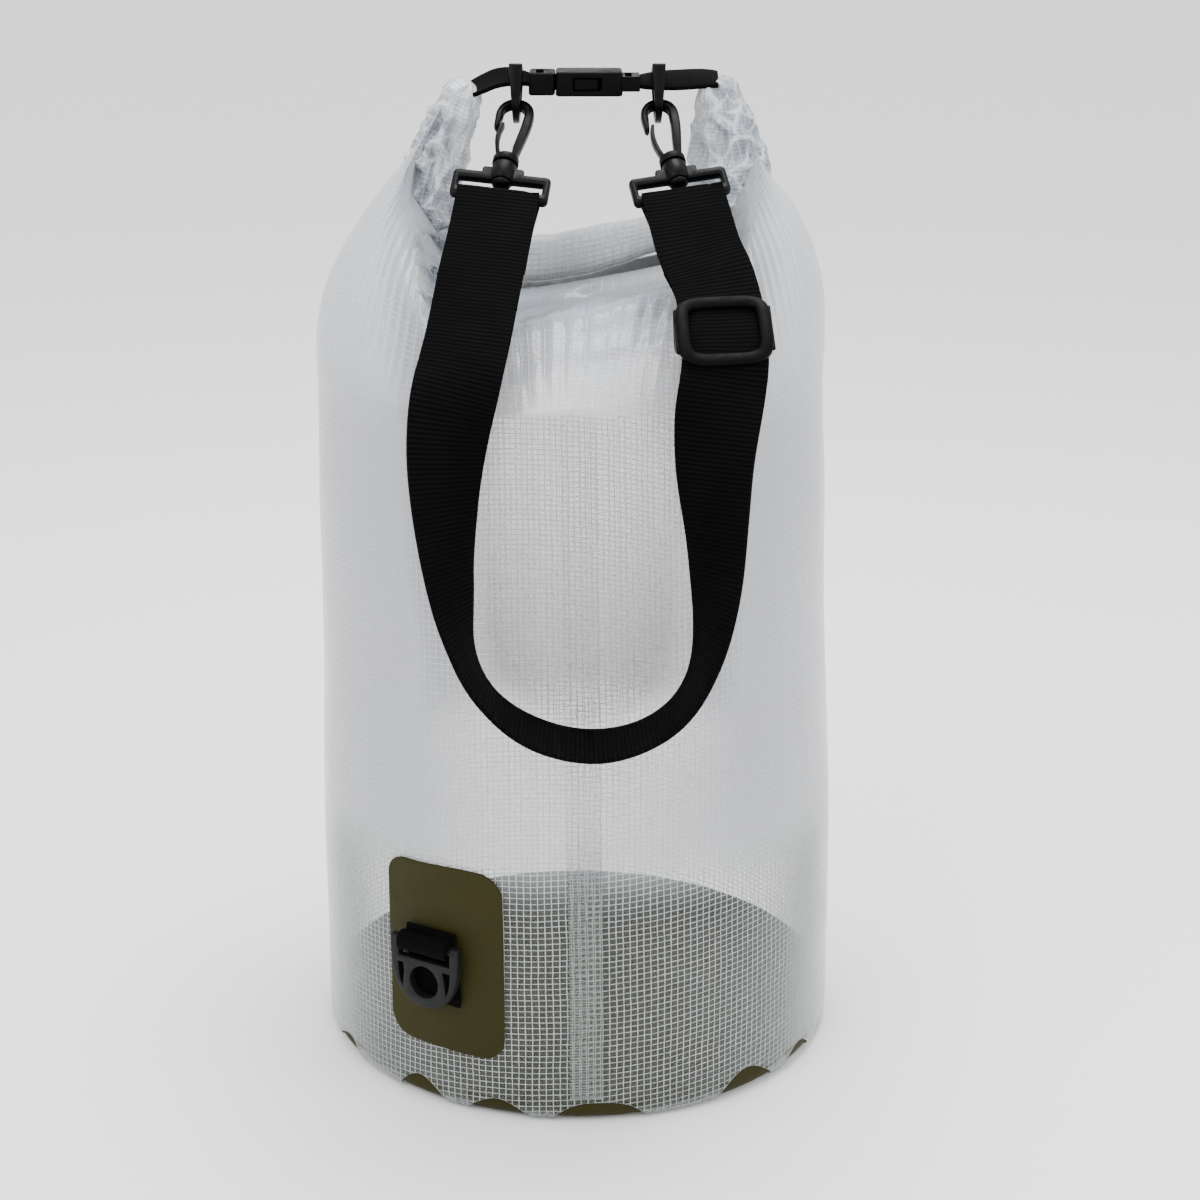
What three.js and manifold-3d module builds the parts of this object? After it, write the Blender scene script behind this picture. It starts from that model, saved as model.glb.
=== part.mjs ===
// A roll-top dry bag of clear scrim-reinforced film, with a welded olive base, a buckled carry
// closure, two swivel snap hooks and a webbing shoulder strap. Millimetres, +Z up.
// The origin is the middle of the base, on the ground. The front of the bag faces -Y.
import * as THREE from "three";
import { mergeVertices } from "three/addons/utils/BufferGeometryUtils.js";
import Module from "manifold-3d";

const wasm = await Module();
wasm.setup();

// Driving dimensions.
const GAP = 0.3; // left between pieces that touch
const WALL = { base: 119, mid: 117.5, top: 114.5, film: 1.2, straightTo: 130, midAt: 200, topAt: 312 };
const NECK = { halfWidth: 100, halfDepth: 13, z: 348 };
const BASE = { flangeRadius: 103, sheet: 1.2, rimTop: 22 };
const SEAM = { angle: 0.031, width: 14.5, sheet: 0.6, from: 9, to: 310 };
const ROLL = { z: 363.5, turns: 2.5, pitch: 2.6, ply: 2.1, core: 1.9, flat: 10, halfLength: 55 };
const STIFFENER = { thickness: 0.9, height: 9.5, halfLength: 52 };
const CLOSURE = { z: 439, left: -46.3, right: 50, webbing: 19, sheet: 1.5, tilt: -15 * (Math.PI / 180) };
const BUCKLE = { left: -21.4, joint: -9.7, right: 19.3, end: 26.8, width: 27, height: 10.4, shell: 1.7 };
const RING = { halfWidth: 13, inner: 10.2, top: 6, slotTop: 3.2, arcCentre: -5, topThick: 6, lowThick: 2.8 };
const HOOK = { pull: THREE.MathUtils.degToRad(-48), reach: 11.6, thickness: 4.6 };
const FRAME = { halfWidth: 21, slotHalf: 17.9, top: 35.6, slotTop: 40, barAt: 47.5, barRadius: 2.2 };
const STRAP = { width: 35, thickness: 1.8, frontPly: -3.7 };
const SLIDER = { at: 125, length: 35, halfWidth: 21, bar: 5 };
const PATCH = { angle: THREE.MathUtils.degToRad(-29.3), width: 58, height: 86, z: 72, corner: 10, sheet: 1.2 };
const LUG = { angle: THREE.MathUtils.degToRad(-31.3), z: 80, radius: 126.7, width: 25, eye: 7.5 };

// The two sides of the carry closure: where each ring hangs and how far its hook leans outwards.
const SIDES = [
  { name: "left", x: -27, lean: THREE.MathUtils.degToRad(8) },
  { name: "right", x: 35, lean: THREE.MathUtils.degToRad(-11) },
];

const COLOURS = {
  film: { color: 0xc6cace, roughness: 0.35, transparent: true, opacity: 0.75 },
  olive: { color: 0x40411f, roughness: 0.7 },
  webbing: { color: 0x0d0d0e, roughness: 0.9 },
  plastic: { color: 0x1b1c1d, roughness: 0.45 },
};

const bag = new THREE.Group();

// Adds one named piece, with a material of its own, to a group.
function addPart(name, geometry, finish, parent = bag) {
  const mesh = new THREE.Mesh(geometry, new THREE.MeshStandardMaterial(COLOURS[finish]));
  mesh.name = name;
  parent.add(mesh);
  return mesh;
}

// Booleans.
function toSolid(geometry) {
  const bare = geometry.clone();
  bare.deleteAttribute("normal");
  bare.deleteAttribute("uv");
  const merged = mergeVertices(bare, 1e-3);
  const triVerts = new Uint32Array(merged.index.array);
  const vertProperties = new Float32Array(merged.attributes.position.array);
  return new wasm.Manifold(new wasm.Mesh({ numProp: 3, vertProperties, triVerts }));
}

function toGeometry(solid) {
  const mesh = solid.getMesh();
  const geometry = new THREE.BufferGeometry();
  geometry.setAttribute("position", new THREE.BufferAttribute(new Float32Array(mesh.vertProperties), 3));
  geometry.setIndex(new THREE.BufferAttribute(new Uint32Array(mesh.triVerts), 1));
  geometry.computeVertexNormals();
  return geometry;
}

function join(...geometries) {
  return toGeometry(geometries.map(toSolid).reduce((all, next) => all.add(next)));
}

function cut(geometry, ...cutters) {
  return toGeometry(cutters.map(toSolid).reduce((left, next) => left.subtract(next), toSolid(geometry)));
}

function common(a, b) {
  return toGeometry(toSolid(a).intersect(toSolid(b)));
}

// Simple shapes.
function box([x0, y0, z0], [x1, y1, z1]) {
  const geometry = new THREE.BoxGeometry(x1 - x0, y1 - y0, z1 - z0);
  return geometry.translate((x0 + x1) / 2, (y0 + y1) / 2, (z0 + z1) / 2);
}

// An outline in X and Z, given depth along Y about y, with a small bevel.
function plate(shape, depth, { y = 0, bevel = 0, curveSegments = 5 } = {}) {
  const geometry = new THREE.ExtrudeGeometry(shape, {
    depth: depth - 2 * bevel,
    bevelEnabled: bevel > 0,
    bevelThickness: bevel,
    bevelSize: bevel,
    bevelOffset: -bevel,
    bevelSegments: 2,
    curveSegments,
  });
  return geometry.translate(0, 0, -depth / 2 + bevel).rotateX(Math.PI / 2).translate(0, y, 0);
}

function roundedRect(halfWidth, halfHeight, radius, centreZ = 0) {
  const shape = new THREE.Shape();
  const [w, h] = [halfWidth - radius, halfHeight - radius];
  shape.absarc(w, centreZ + h, radius, 0, Math.PI / 2);
  shape.absarc(-w, centreZ + h, radius, Math.PI / 2, Math.PI);
  shape.absarc(-w, centreZ - h, radius, Math.PI, 1.5 * Math.PI);
  shape.absarc(w, centreZ - h, radius, 1.5 * Math.PI, 2 * Math.PI);
  return shape;
}

// A round piece about Z from a profile of [radius, z].
function turned(profile, segments) {
  const points = profile.map(([r, z]) => new THREE.Vector2(r, z));
  return new THREE.LatheGeometry(points, segments).rotateX(Math.PI / 2);
}

// A skin or solid through elliptical rings { x, a, b, z }, in their order.
function ringLoft(rings, segments) {
  const lathe = new THREE.LatheGeometry(rings.map((_, i) => new THREE.Vector2(1, i)), segments);
  const position = lathe.attributes.position;
  for (let i = 0; i < position.count; i += 1) {
    const ring = rings[Math.round(position.getY(i))];
    const x = (ring.x ?? 0) + ring.a * position.getX(i);
    position.setXYZ(i, x, -ring.b * position.getZ(i), ring.z);
  }
  return lathe;
}

// A flat band through stations { at, across }, each a Vector3 pair.
function ribbon(stations, width, thickness) {
  const count = stations.length;
  const geometry = new THREE.BoxGeometry(width, thickness, count - 1, 1, 1, count - 1);
  const position = geometry.attributes.position;
  for (let i = 0; i < position.count; i += 1) {
    const k = Math.round(position.getZ(i) + (count - 1) / 2);
    const along = stations[Math.min(k + 1, count - 1)].at.clone().sub(stations[Math.max(k - 1, 0)].at);
    const normal = along.clone().cross(stations[k].across).normalize();
    const across = normal.clone().cross(along).normalize();
    const point = stations[k].at.clone();
    point.addScaledVector(across, position.getX(i)).addScaledVector(normal, position.getY(i));
    position.setXYZ(i, point.x, point.y, point.z);
  }
  return geometry;
}

// Stations every few millimetres along a smooth curve through control stations.
function smoothStations(controls, step) {
  const path = new THREE.CatmullRomCurve3(controls.map((c) => c.at), false, "centripetal");
  const turn = new THREE.CatmullRomCurve3(controls.map((c) => c.across), false, "catmullrom", 0.3);
  const last = controls.length - 1;
  const stations = [];
  for (let k = 0; k < last; k += 1) {
    const pieces = Math.ceil(controls[k].at.distanceTo(controls[k + 1].at) / step);
    for (let i = 0; i < pieces; i += 1) {
      const t = (k + i / pieces) / last;
      stations.push({ at: path.getPoint(t), across: turn.getPoint(t) });
    }
  }
  stations.push({ at: path.getPoint(1), across: turn.getPoint(1) });
  return stations;
}

// The outer radius of the wall at a height, below the shoulder.
function wallRadius(z) {
  const { base, mid, top, straightTo, midAt, topAt } = WALL;
  if (z <= straightTo) return base;
  if (z <= midAt) return THREE.MathUtils.mapLinear(z, straightTo, midAt, base, mid);
  return THREE.MathUtils.mapLinear(z, midAt, topAt, mid, top);
}

// The tube of the bag: hem under the base, straight side, shoulder and flattened neck.
function bodyWall() {
  const { base, film, straightTo, midAt, topAt } = WALL;
  const side = (offset) =>
    [8, straightTo, midAt, topAt].map((z) => ({ a: wallRadius(z) - offset, b: wallRadius(z) - offset, z }));
  const shoulder = (offset) =>
    [
      { a: 113.5, b: 109, z: 323 },
      { a: 112, b: 92, z: 331 },
      { a: 109, b: 62, z: 338 },
      { a: 105, b: 33, z: 343.5 },
    ].map(({ a, b, z }) => ({ a: a - offset, b: b - offset, z: z - offset }));
  const { halfWidth, halfDepth, z } = NECK;
  const hem = BASE.flangeRadius;
  const outer = [
    { a: hem, b: hem, z: 0 },
    { a: base - 3, b: base - 3, z: 0 },
    { a: base - 0.8, b: base - 0.8, z: 3 },
    ...side(0),
    ...shoulder(0),
    { a: halfWidth, b: halfDepth, z },
  ];
  const inner = [
    { a: hem, b: hem, z: film },
    { a: base - 3.4, b: base - 3.4, z: film },
    { a: base - 2, b: base - 2, z: 3.4 },
    ...side(film),
    ...shoulder(film),
    { a: halfWidth - film, b: halfDepth - film, z },
  ];
  return ringLoft([...outer, ...inner.reverse(), outer[0]], 64);
}

// A thin sheet bent round the wall, between two radial offsets from it.
function seamStrip() {
  const { angle, width, sheet, from, to } = SEAM;
  const steps = 12;
  const geometry = new THREE.BoxGeometry(width, sheet, to - from, 4, 1, steps);
  const position = geometry.attributes.position;
  for (let i = 0; i < position.count; i += 1) {
    const z = position.getZ(i) + (from + to) / 2;
    const r = wallRadius(z) + GAP + sheet / 2 - position.getY(i);
    const theta = angle + position.getX(i) / wallRadius(z);
    position.setXYZ(i, r * Math.sin(theta), -r * Math.cos(theta), z);
  }
  return geometry;
}

// The base sheet lies on the ground inside the hem, steps over it, and turns up inside the wall.
function baseDisc() {
  const { flangeRadius, sheet, rimTop } = BASE;
  const rim = WALL.base - WALL.film - 2 * GAP;
  const over = WALL.film + GAP;
  return turned(
    [
      [0, 0],
      [flangeRadius - GAP, 0],
      [flangeRadius - GAP, over],
      [rim - 5, over],
      [rim, over + 5],
      [rim, rimTop],
      [rim - sheet, rimTop],
      [rim - sheet, over + 5.5],
      [rim - 5.5, over + sheet],
      [flangeRadius - GAP - sheet, over + sheet],
      [flangeRadius - GAP - sheet - 1, sheet],
      [0, sheet],
    ],
    64,
  );
}

// One point of the rolled section: straight sides joined by growing half turns.
function rollPoint(angle, offset) {
  const { core, pitch, flat } = ROLL;
  const r = core + (pitch * angle) / (2 * Math.PI) + offset;
  const side = Math.sin(angle + 1e-6) >= 0 ? 1 : -1;
  return new THREE.Vector2(r * Math.cos(angle), r * Math.sin(angle) + (side * flat) / 2);
}

function rollCentre() {
  const { turns, ply, halfLength, z } = ROLL;
  const stepsPerTurn = 12;
  const angles = [];
  for (let k = 0; k <= turns * stepsPerTurn; k += 1) {
    const angle = (2 * Math.PI * k) / stepsPerTurn;
    if (k % (stepsPerTurn / 2) === 0) angles.push(angle - 1e-3);
    angles.push(angle);
  }
  const outer = angles.slice(1).map((a) => rollPoint(a, ply / 2));
  const inner = angles.slice(1).reverse().map((a) => rollPoint(a, -ply / 2));
  const section = new THREE.ExtrudeGeometry(new THREE.Shape([...outer, ...inner]), {
    depth: 2 * halfLength,
    bevelEnabled: false,
    steps: 1,
  });
  return section.translate(0, 0, -halfLength).rotateX(Math.PI / 2).rotateZ(Math.PI / 2).translate(0, 0, z);
}

function mouthStiffener() {
  const { thickness, height, halfLength } = STIFFENER;
  return new THREE.BoxGeometry(2 * halfLength, thickness, height).translate(0, 0, ROLL.z);
}

// A folded end of the roll, rising from the neck to the closure webbing. side is -1 or 1.
function rollEnd(side) {
  const rise = [
    { x: 82, a: 22, b: 12.5, z: NECK.z + 1 },
    { x: 81, a: 23.5, b: 14, z: 358 },
    { x: 79, a: 22, b: 14, z: 370 },
    { x: 74.5, a: 17, b: 13.5, z: 387 },
    { x: 68, a: 13, b: 13, z: 405 },
    { x: 60.5, a: 11.5, b: 12, z: 420 },
    { x: 56.5, a: 9, b: 10.5, z: 433 },
    { x: 54, a: 7, b: 9, z: 441 },
  ].map((ring) => ({ ...ring, x: side * ring.x + (side > 0 ? 4 : 0) }));
  const foot = { ...rise[0], a: 0, b: 0 };
  const tip = { ...rise[rise.length - 1], a: 0, b: 0 };
  return ringLoft([foot, ...rise, tip], 20);
}

// Closure webbing between a roll end and the buckle, tilted as the rings are.
function closureStrap(x0, x1) {
  const band = new THREE.BoxGeometry(x1 - x0, CLOSURE.webbing, CLOSURE.sheet);
  return band.rotateX(CLOSURE.tilt).translate((x0 + x1) / 2, 0, CLOSURE.z);
}

// The outer half of the buckle: a hollow shell with a window in each side and a bar for its webbing.
function buckleSocket() {
  const { joint, right, end, width, height, shell } = BUCKLE;
  const half = { y: width / 2, z: height / 2 };
  const outline = roundedRect((right - joint) / 2, half.y, 2.5);
  const body = plate(outline, height, { bevel: 0.8, curveSegments: 3 }).rotateX(Math.PI / 2);
  body.translate((joint + right) / 2, 0, 0);
  const [roomY, roomZ] = [half.y - shell, half.z - shell];
  const cavity = box([joint - 1, -roomY, -roomZ], [right - 3, roomY, roomZ]);
  const windows = [-1, 1].map((side) =>
    box([-2.2, side > 0 ? 5 : -half.y - 1, -2.9], [10.2, side > 0 ? half.y + 1 : -5, 2.9]),
  );
  const lug = box([right - 1, -half.y + 1.5, -half.z + 2], [end, half.y - 1.5, half.z - 2]);
  const slot = box([right + 1.2, -10, -half.z], [right + 4.2, 10, half.z]);
  return cut(join(body, lug), cavity, ...windows, slot).translate(0, 0, CLOSURE.z);
}

// The inner half: a block with a webbing slot and a guide tongue. Its arms are pieces of their own.
function bucklePlug() {
  const { left, joint, width, height, shell } = BUCKLE;
  const half = { y: width / 2 - 0.6, z: height / 2 - 0.4 };
  const outline = roundedRect((joint - GAP - left) / 2, half.y, 2);
  const block = plate(outline, 2 * half.z, { bevel: 0.8, curveSegments: 3 }).rotateX(Math.PI / 2);
  block.translate((joint - GAP + left) / 2, 0, 0);
  const slot = box([left + 3, -10, -height], [left + 6.4, 10, height]);
  const tongueHigh = height / 2 - shell - GAP;
  const tongue = box([joint - 1, -2.4, -tongueHigh], [12, 2.4, tongueHigh]);
  return join(cut(block, slot), tongue).translate(0, 0, CLOSURE.z);
}

// A springing arm of the plug, whose button fills the side window. side is -1 (front) or 1.
function buckleProng(side) {
  const root = BUCKLE.joint + GAP / 2;
  const button = BUCKLE.width / 2 - 0.2;
  const outline = new THREE.Shape();
  outline.moveTo(root, 7.2);
  outline.lineTo(root, 10.2);
  outline.lineTo(-2, 10.8);
  outline.lineTo(-1.4, button);
  outline.quadraticCurveTo(4, button - 0.9, 8.6, button - 1.2);
  outline.quadraticCurveTo(10, 10, 8.4, 7.6);
  outline.lineTo(-1, 8.1);
  const arm = plate(outline, 5.2, { bevel: 0.5, curveSegments: 4 }).rotateX(Math.PI / 2);
  if (side > 0) arm.rotateX(Math.PI);
  return arm.translate(0, 0, CLOSURE.z);
}

// A D-ring seen along its bar: flat bar on top, round below, thinner towards the bottom.
function strapRing() {
  const { halfWidth, inner, top, slotTop, arcCentre, topThick, lowThick } = RING;
  const outline = new THREE.Shape();
  outline.absarc(halfWidth - 1.5, top - 1.5, 1.5, 0, Math.PI / 2);
  outline.absarc(-halfWidth + 1.5, top - 1.5, 1.5, Math.PI / 2, Math.PI);
  outline.absarc(0, arcCentre, halfWidth, Math.PI, 2 * Math.PI);
  const hole = new THREE.Path();
  hole.moveTo(inner, slotTop);
  hole.lineTo(-inner, slotTop);
  hole.absarc(0, arcCentre, inner, Math.PI, 2 * Math.PI);
  outline.holes.push(hole);
  const ring = plate(outline, topThick, { bevel: 0.6, curveSegments: 9 });
  const position = ring.attributes.position;
  const low = arcCentre - halfWidth;
  for (let i = 0; i < position.count; i += 1) {
    const share = THREE.MathUtils.mapLinear(position.getZ(i), low, top, lowThick / topThick, 1);
    position.setY(i, position.getY(i) * share);
  }
  return ring.rotateZ(Math.PI / 2);
}

// The hook: thick spine on the right, crook over the ring, nose on the left, round collar below.
// Hooks and frames are drawn hanging, with the ring's bar at the origin and the strap towards -Z.
function hookBody() {
  const outline = new THREE.Shape();
  outline.moveTo(4.4, -26.4);
  outline.bezierCurveTo(6.2, -17, 8.3, -9, 8.2, -1.5);
  outline.bezierCurveTo(8, 4.6, 3.5, 6.8, -0.5, 6.6);
  outline.bezierCurveTo(-5, 6.4, -8.4, 2.5, -8.3, -3);
  outline.lineTo(-8.1, -9.3);
  outline.lineTo(-7, -10.6);
  outline.lineTo(-6.1, -9.6);
  outline.lineTo(-5.1, -3.2);
  outline.absarc(-0.5, -1.6, 4.6, Math.PI, 0, true);
  outline.lineTo(3.6, -8);
  outline.lineTo(1.9, -20);
  outline.lineTo(1.7, -26.4);
  const crook = plate(outline, HOOK.thickness, { bevel: 0.9, curveSegments: 8 });
  const collar = turned([[0, -29.8], [5.7, -29.8], [5.7, -27], [4.9, -26], [0, -26]], 20);
  const bore = turned([[0, -30.6], [2.3, -30.6], [2.3, -27], [0, -27]], 12);
  return cut(join(crook, collar), bore);
}

function hookGate() {
  const outline = new THREE.Shape();
  outline.moveTo(-2.6, -25.6);
  outline.lineTo(-4.4, -25.6);
  outline.bezierCurveTo(-6.6, -19, -7, -15, -5.9, -10);
  outline.lineTo(-4.9, -7.2);
  outline.lineTo(-3.6, -7.4);
  outline.bezierCurveTo(-5.2, -14, -4.8, -19, -2.6, -25.6);
  return plate(outline, 3.6, { curveSegments: 5 });
}

function swivelPin() {
  const head = [[0, -42.5], [2.6, -42.2], [4, -41.2], [4.2, -40.1]];
  return turned([...head, [2, -40], [2, -27.3], [0, -27.3]], 16);
}

// The strap frame: swivel hub, stepped top bar, two ends and the round bar that the webbing turns on.
function swivelFrame() {
  const { halfWidth, slotHalf, top, slotTop, barAt, barRadius } = FRAME;
  const bottom = barAt + barRadius;
  const outline = roundedRect(halfWidth, (bottom - top) / 2, 2.2, -(bottom + top) / 2);
  const slotEnd = barAt - barRadius;
  const slot = roundedRect(slotHalf, (slotEnd - slotTop) / 2, 0.6, -(slotEnd + slotTop) / 2);
  outline.holes.push(new THREE.Path(slot.getPoints(2)));
  const frame = plate(outline, 2 * barRadius, { bevel: 1.3, curveSegments: 3 });
  const step = plate(roundedRect(9, 3.2, 1.4, -36.2), 4.4, { bevel: 0.6, curveSegments: 3 });
  const hub = turned([[0, -39.7], [4.6, -39.7], [5.3, -38.6], [5.3, -31.2], [4.7, -30.2], [0, -30.2]], 20);
  const bore = turned([[0, -40.2], [2.35, -40.2], [2.35, -29.5], [0, -29.5]], 12);
  return cut(join(frame, step, hub), bore);
}

// Local frame of a side: x across the webbing, y to the back, z up along the hook.
const arcCentre = new THREE.Vector3(0, 0, RING.arcCentre)
  .applyAxisAngle(new THREE.Vector3(1, 0, 0), CLOSURE.tilt)
  .add(new THREE.Vector3(0, 0, CLOSURE.z));

function hangingGroup({ x, lean }) {
  const group = new THREE.Group();
  const reach = new THREE.Vector3(0, 0, -HOOK.reach).applyAxisAngle(new THREE.Vector3(1, 0, 0), HOOK.pull);
  group.position.copy(arcCentre).add(reach).setX(x);
  group.rotation.set(HOOK.pull, lean, 0);
  group.updateMatrixWorld(true);
  return group;
}

const [leftGroup, rightGroup] = SIDES.map(hangingGroup);

// A strap station given in a side's local frame: down is the distance below the ring's bar.
function localStation(group, normal, down, x = 0) {
  const at = new THREE.Vector3(x, normal, -down).applyMatrix4(group.matrixWorld);
  const across = new THREE.Vector3(1, 0, 0).transformDirection(group.matrixWorld);
  return { at, across };
}

// A strap station in the part's frame: turn is the angle of its width from +X towards -Y or +Y.
function hangingStation(x, y, z, turnDegrees) {
  const turn = THREE.MathUtils.degToRad(turnDegrees);
  return { at: new THREE.Vector3(x, y, z), across: new THREE.Vector3(Math.cos(turn), Math.sin(turn), 0) };
}

// Webbing round a frame's bar, from behind to in front.
function frameTurn(group) {
  const radius = -STRAP.frontPly;
  return [0, 30, 60, 90, 120, 150, 180].map((degrees) => {
    const a = THREE.MathUtils.degToRad(degrees);
    return localStation(group, radius * Math.cos(a), FRAME.barAt - radius * Math.sin(a));
  });
}

function shoulderStrap() {
  const front = STRAP.frontPly;
  const tail = (group) => [
    localStation(group, front + 2.3, 88),
    localStation(group, front + 2.3, 74),
    localStation(group, front + 2.6, 62),
    localStation(group, 1.4, 54),
  ];
  const run = (group, ...downs) => downs.map((down) => localStation(group, front, down));
  const flipped = ({ at, across }) => ({ at, across: across.negate() });
  const stations = [
    ...tail(leftGroup),
    ...frameTurn(leftGroup),
    ...run(leftGroup, 60, 80, 100, 120, 143),
    hangingStation(-50, -121.5, 326, 12),
    hangingStation(-53, -125, 309, 28),
    hangingStation(-54.5, -127.5, 282, 45),
    hangingStation(-52.5, -131, 259, 58),
    hangingStation(-50, -134, 238, 70),
    hangingStation(-47.5, -136, 220, 82),
    hangingStation(-40.5, -137, 203, 90),
    hangingStation(-25.7, -138, 190, 90),
    hangingStation(-7.4, -138.5, 183, 90),
    hangingStation(9, -138.5, 181, 90),
    hangingStation(27.5, -138, 184.7, 90),
    hangingStation(43.8, -137, 196, 92),
    hangingStation(51.5, -136, 212, 98),
    hangingStation(54.5, -134, 229, 108),
    hangingStation(56, -131, 248, 119),
    hangingStation(56, -128.5, 266, 129),
    hangingStation(56, -127, 284, 139),
    hangingStation(57, -127.5, 302, 149),
    hangingStation(60.5, -126, 317, 162),
    ...[...tail(rightGroup), ...frameTurn(rightGroup), ...run(rightGroup, 60, 80, 100, 120, 138, 145, 149)]
      .reverse()
      .map(flipped),
  ];
  return ribbon(smoothStations(stations, 7), STRAP.width, STRAP.thickness);
}

// The end of the strap that lies behind the right run and turns round the slider's middle bar.
function strapReturn() {
  const centre = { normal: 1.1, down: SLIDER.at };
  const turn = [0, 45, 90, 135, 180].map((degrees) => {
    const a = THREE.MathUtils.degToRad(degrees);
    return localStation(rightGroup, centre.normal + 2.8 * Math.cos(a), centre.down + 2.8 * Math.sin(a));
  });
  const stations = [
    localStation(rightGroup, 1, 83),
    localStation(rightGroup, 1.1, 98),
    localStation(rightGroup, 2.2, 110),
    localStation(rightGroup, 3.8, 119),
    ...turn,
    localStation(rightGroup, centre.normal - 2.8, centre.down - 6),
  ];
  return ribbon(smoothStations(stations, 7), STRAP.width - 1, STRAP.thickness - 0.2);
}

// The tri-glide: two end bars in front of the webbing and a round middle bar behind it.
function strapSlider() {
  const { length, halfWidth, bar } = SLIDER;
  const end = length / 2;
  const inner = STRAP.width / 2 + GAP;
  const rail = new THREE.Shape();
  rail.moveTo(-8.1, end);
  rail.quadraticCurveTo(-9.1, 0, -8.1, -end);
  rail.lineTo(-4.9, -end);
  rail.lineTo(-4.6, -end + bar + 1);
  rail.quadraticCurveTo(-0.5, -5, 2.9, -2.2);
  rail.lineTo(2.9, 2.2);
  rail.quadraticCurveTo(-0.5, 5, -4.6, end - bar - 1);
  rail.lineTo(-4.9, end);
  const rails = [-1, 1].map((side) =>
    plate(rail, halfWidth - inner).rotateZ(Math.PI / 2).translate((side * (halfWidth + inner)) / 2, 0, 0),
  );
  const bars = [-1, 1].map((side) => plate(roundedRect(halfWidth, bar / 2, 1), 3.2, { y: -6.5, bevel: 0.7 })
    .translate(0, 0, side * (end - bar / 2)));
  const middle = new THREE.CylinderGeometry(1.6, 1.6, 2 * halfWidth - 1, 12);
  middle.rotateZ(Math.PI / 2).translate(0, 1.1, 0);
  const outline = plate(roundedRect(halfWidth, end, 6), 30, { curveSegments: 4 });
  return common(join(...rails, ...bars, middle), outline);
}

// The reinforcing patch: a rounded rectangle out of a thin sleeve round the wall.
function ringPatch() {
  const { angle, width, height, z, corner, sheet } = PATCH;
  const r = WALL.base + GAP;
  const [low, high] = [z - height / 2 - 1, z + height / 2 + 1];
  const sleeve = turned([[r, low], [r + sheet, low], [r + sheet, high], [r, high], [r, low]], 96);
  const outline = plate(roundedRect(width / 2, height / 2, corner, z), 60, { y: -r, curveSegments: 5 });
  return common(sleeve, outline.rotateZ(angle));
}

// Webbing on the patch: a flat backing and, at its top, a tunnel round the lug ring's bar.
function patchWebbing() {
  const { z, radius, width } = LUG;
  const face = WALL.base + 2 * GAP + PATCH.sheet + 0.2;
  const backing = box([-width / 2, -face - 1.4, 45], [width / 2, -face, z + 9]);
  const tunnel = new THREE.Shape();
  tunnel.absarc(0, 0, 4.7, 0, 2 * Math.PI);
  tunnel.holes.push(new THREE.Path().absarc(0, 0, 2.9, 0, 2 * Math.PI));
  const sleeve = plate(tunnel, width, { curveSegments: 10 }).rotateZ(Math.PI / 2).translate(0, -radius, z);
  return join(backing, sleeve);
}

// The lug ring: a bar in the webbing tunnel, two arms, and a web with a round eye and side windows.
function patchRing() {
  const { z, radius, eye } = LUG;
  const outline = new THREE.Shape();
  outline.moveTo(17.3, 2);
  outline.bezierCurveTo(17.8, -12, 16.5, -29, 0, -29);
  outline.bezierCurveTo(-16.5, -29, -17.8, -12, -17.3, 2);
  outline.lineTo(-13.3, 2);
  outline.lineTo(-13.3, -7);
  outline.lineTo(13.3, -7);
  outline.lineTo(13.3, 2);
  const web = plate(outline, 3.8, { bevel: 0.5, curveSegments: 8 });
  const bar = new THREE.CylinderGeometry(2.2, 2.2, 31, 14).rotateZ(Math.PI / 2);
  const eyeHole = plate(new THREE.Shape().absarc(0, -17, eye, 0, 2 * Math.PI), 6, { curveSegments: 12 });
  const windows = [-1, 1].map((side) => {
    const window = new THREE.Shape();
    window.moveTo(side * 9.6, -10);
    window.lineTo(side * 13.6, -10);
    window.quadraticCurveTo(side * 13.8, -17, side * 11.2, -21.5);
    window.quadraticCurveTo(side * 10.6, -14, side * 9.6, -10);
    return plate(window, 6, { curveSegments: 4 });
  });
  return cut(join(web, bar), eyeHole, ...windows).translate(0, -radius, z);
}

function addBag() {
  addPart("body_wall", bodyWall(), "film");
  addPart("seam_strip", seamStrip(), "film");
  addPart("base_disc", baseDisc(), "olive");
  addPart("roll_centre", rollCentre(), "film");
  addPart("mouth_stiffener", mouthStiffener(), "plastic");
  addPart("roll_end_left", rollEnd(-1), "film");
  addPart("roll_end_right", rollEnd(1), "film");
}

function addClosure() {
  addPart("closure_strap_left", closureStrap(CLOSURE.left, BUCKLE.left - 0.5), "webbing");
  addPart("closure_strap_right", closureStrap(BUCKLE.end + 0.5, CLOSURE.right), "webbing");
  addPart("buckle_socket", buckleSocket(), "plastic");
  addPart("buckle_plug", bucklePlug(), "plastic");
  addPart("buckle_prong_front", buckleProng(-1), "plastic");
  addPart("buckle_prong_back", buckleProng(1), "plastic");
  SIDES.forEach(({ name, x }) => {
    const ring = addPart(`strap_ring_${name}`, strapRing(), "plastic");
    ring.position.set(x, 0, CLOSURE.z);
    ring.rotation.x = CLOSURE.tilt;
  });
}

function addShoulderStrap() {
  [leftGroup, rightGroup].forEach((group, i) => {
    const side = SIDES[i].name;
    addPart(`hook_body_${side}`, hookBody(), "plastic", group);
    addPart(`hook_gate_${side}`, hookGate(), "plastic", group);
    addPart(`swivel_pin_${side}`, swivelPin(), "plastic", group);
    addPart(`swivel_frame_${side}`, swivelFrame(), "plastic", group);
    bag.add(group);
  });
  addPart("strap_slider", strapSlider(), "plastic", rightGroup).position.set(0, 0, -SLIDER.at);
  addPart("shoulder_strap", shoulderStrap(), "webbing");
  addPart("strap_return", strapReturn(), "webbing");
}

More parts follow.
